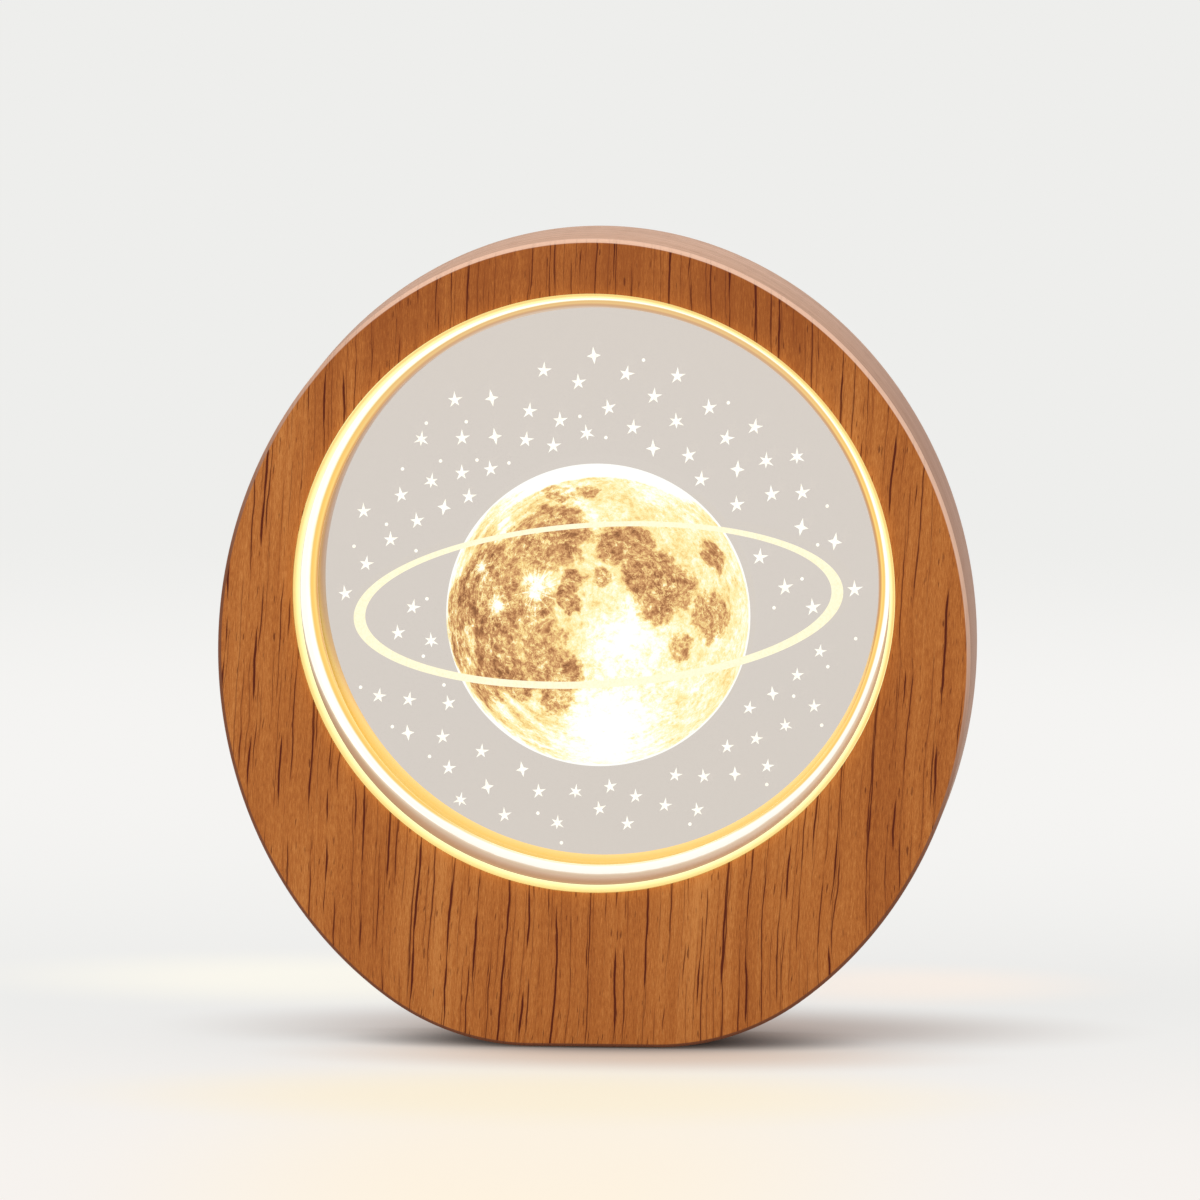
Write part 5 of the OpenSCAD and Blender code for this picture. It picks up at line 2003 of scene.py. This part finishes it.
@dataclass
class Studio:
    """The floor and backdrop, the lamps, the world and the camera."""

    azimuth: float = 4.3
    elevation: float = 7.3
    distance: float = 3500.0
    pixels_per_mm: float = 5.1
    image_side: float = 1200.0
    sensor: float = 36.0
    clip_end: float = 100.0
    # Place in the image of the face's point at the height that follows
    aim: tuple[float, float] = (593.3, 655.0)
    aim_z: float = 78.0
    lamps_aim: Colour = (0.0, 0.0, 0.08)
    floor_r: float = 12000.0
    floor_sides: int = 96
    floor_colour: Colour = (0.8, 0.8, 0.795)
    # Share of the background near the lamp, its middle in depth and the distances where it grows to all
    near_share: float = 0.75
    near_depth: float = 12.0
    near_limits: tuple[float, float] = (40.0, 260.0)
    # Share of a patch's reach where it begins and where it is full
    patch_limits: tuple[float, float] = (1.0, 0.15)
    world_light: Colour = (0.97, 0.98, 1.0)
    world_strength: float = 0.6
    BACKGROUND: ClassVar[Colour] = tone(238, 238, 236)
    # Tone, place to the right and to the front, width, depth and strength of each patch of paint: pale floor
    # tones, painted pools of the lamp's light, a painted reflection of the wood and painted shadows
    PAINTED_FLOOR_PATCHES: ClassVar[tuple[tuple[Colour, float, float, float, float, float], ...]] = (
        # Broad pale floor tones, far behind and in front
        (tone(245, 244, 242), 0.0, -420.0, 900.0, 420.0, 1.0),
        (tone(247, 243, 239), 0.0, 150.0, 460.0, 230.0, 1.0),
        # Painted pools of the lamp's warm light on the floor: in front, then behind on the left and on the
        # right
        (tone(255, 243, 224), 0.0, 150.0, 100.0, 210.0, 1.0),
        (tone(255, 241, 212), -4.0, 62.0, 112.0, 46.0, 1.0),
        (tone(255, 252, 240), -60.0, -88.0, 85.0, 46.0, 1.0),
        (tone(255, 243, 232), 54.0, -88.0, 55.0, 36.0, 0.9),
        # Painted reflection of the wood on the floor just in front of the base
        (tone(214, 186, 164), 8.0, 8.0, 80.0, 26.0, 0.9),
        # Painted shadow round the base
        (tone(166, 148, 138), 10.0, -27.0, 105.0, 40.0, 1.0),
        # Painted contact shadows under the base
        (tone(34, 16, 8), 2.0, -14.0, 56.0, 27.0, 1.0),
        (tone(20, 8, 4), 2.0, -9.0, 60.0, 15.0, 1.0),
    )
    # Name, place and side in metres, power in watts and colour of each lamp
    LAMPS: ClassVar[tuple[tuple[str, Colour, float, float, Colour], ...]] = (
        ("front_soft", (-0.95, -1.1, 0.85), 1.0, 10.0, (1.0, 0.98, 0.95)),
        ("top_soft", (0.2, 0.1, 1.4), 0.9, 6.0, (1.0, 0.98, 0.97)),
        ("right_soft", (1.2, -0.7, 0.5), 0.8, 3.5, (1.0, 0.97, 0.95)),
    )

    def place(self, name: str, data: bpy.types.ID, where: Vector, back: Vector) -> bpy.types.Object:
        """Puts a camera or a lamp in the scene.

        Args:
            name: Its name.
            data: The camera or the lamp.
            where: Its place in metres.
            back: Direction from what it points at to where it stands.

        Returns:
            The object.
        """
        made = bpy.data.objects.new(name, data)
        made.location = where
        made.rotation_euler = (-back).to_track_quat("-Z", "Y").to_euler()
        bpy.context.scene.collection.objects.link(made)
        return made

    def camera(self) -> None:
        """Sets the camera so that the face's middle falls on its place in the image."""
        data = bpy.data.cameras.new("camera")
        data.sensor_width = self.sensor
        data.lens = self.pixels_per_mm * self.distance * self.sensor / self.image_side
        data.clip_end = self.clip_end
        a, e = math.radians(self.azimuth), math.radians(self.elevation)
        back = Vector((math.sin(a) * math.cos(e), -math.cos(a) * math.cos(e), math.sin(e)))
        right = Vector((math.cos(a), math.sin(a), 0))
        half = self.image_side / 2
        target = at(0, 0, self.aim_z)
        target += right * (half - self.aim[0]) / self.pixels_per_mm * MM
        target += back.cross(right) * (self.aim[1] - half) / self.pixels_per_mm * MM
        place = target + back * self.distance * MM
        bpy.context.scene.camera = self.place("camera", data, place, back)

    def floor(self) -> None:
        """Models the floor as a wide round sheet."""
        bpy.ops.object.select_all(action="DESELECT")
        bpy.ops.mesh.primitive_circle_add(vertices=self.floor_sides, radius=self.floor_r * MM,
                                          fill_type="NGON")
        floor = bpy.context.object
        floor.name = "studio_floor"
        bpy.ops.object.mode_set(mode="EDIT")
        bpy.ops.mesh.select_all(action="SELECT")
        bpy.ops.mesh.inset(thickness=self.floor_r * MM / 3)
        bpy.ops.object.mode_set(mode="OBJECT")
        floor.data.materials.append(self._floor_material())

    def _floor_material(self) -> bpy.types.Material:
        """Makes pale paint with painted light, a painted reflection and painted shadows, which keeps real
        shadows near the lamp and fades into the background further out.

        Returns:
            The material.
        """
        bench = MaterialBench("studio_paint")
        paint = self.BACKGROUND
        # Painted light, reflection and shadows on the floor, patch by patch
        for colour, side, front, wide, deep, strength in self.PAINTED_FLOOR_PATCHES:
            gap = bench.length((bench.x - side) / wide, (bench.depth + front) / deep)
            paint = bench.mix(gap.ease(*self.patch_limits) * strength, paint, colour)
        away = bench.length(bench.x, bench.depth - self.near_depth)
        shader = bench.node("ShaderNodeBsdfDiffuse", None, {"Color": self.floor_colour})
        light = bench.node("ShaderNodeEmission", None, {"Color": paint, "Strength": 1.0})
        share = bench.seen() * away.ease(*self.near_limits, self.near_share, 1.0)
        return bench.close("ShaderNodeOutputMaterial", bench.either(share, shader, light))

    def lamps(self) -> None:
        """Adds the square soft lamps, which point at the object."""
        for name, place, side, power, colour in self.LAMPS:
            data = bpy.data.lights.new(name, "AREA")
            data.size = side
            data.energy = power
            data.color = colour
            self.place(name, data, Vector(place), Vector(place) - Vector(self.lamps_aim))

    def world(self) -> None:
        """Sets a plain world that the camera, metal and glass see as the pale background."""
        bench = NodeBench(bpy.data.worlds.new("studio_world"))
        values = {"Color": self.world_light, "Strength": self.world_strength}
        lit = bench.node("ShaderNodeBackground", None, values)
        shown = bench.node("ShaderNodeBackground", None, {"Color": self.BACKGROUND})
        bpy.context.scene.world = bench.close("ShaderNodeOutputWorld", bench.either(bench.seen(), lit, shown))

    def build(self) -> None:
        """Sets the whole studio."""
        bpy.context.scene.view_settings.view_transform = "Standard"
        self.camera()
        self.floor()
        self.world()
        self.lamps()


def main() -> None:
    """Builds the lamp piece by piece and sets the studio round it."""
    logging.basicConfig(level=logging.INFO, format="%(name)s: %(message)s")
    dresser = Dresser()
    controls = BackControls(dresser)
    WoodenBody(dresser).build(controls.cutters())
    WindowStack(dresser).build()
    FrostedPattern(dresser).build()
    controls.build()
    Electronics(dresser).build()
    Studio().build()


if __name__ == "__main__":
    main()
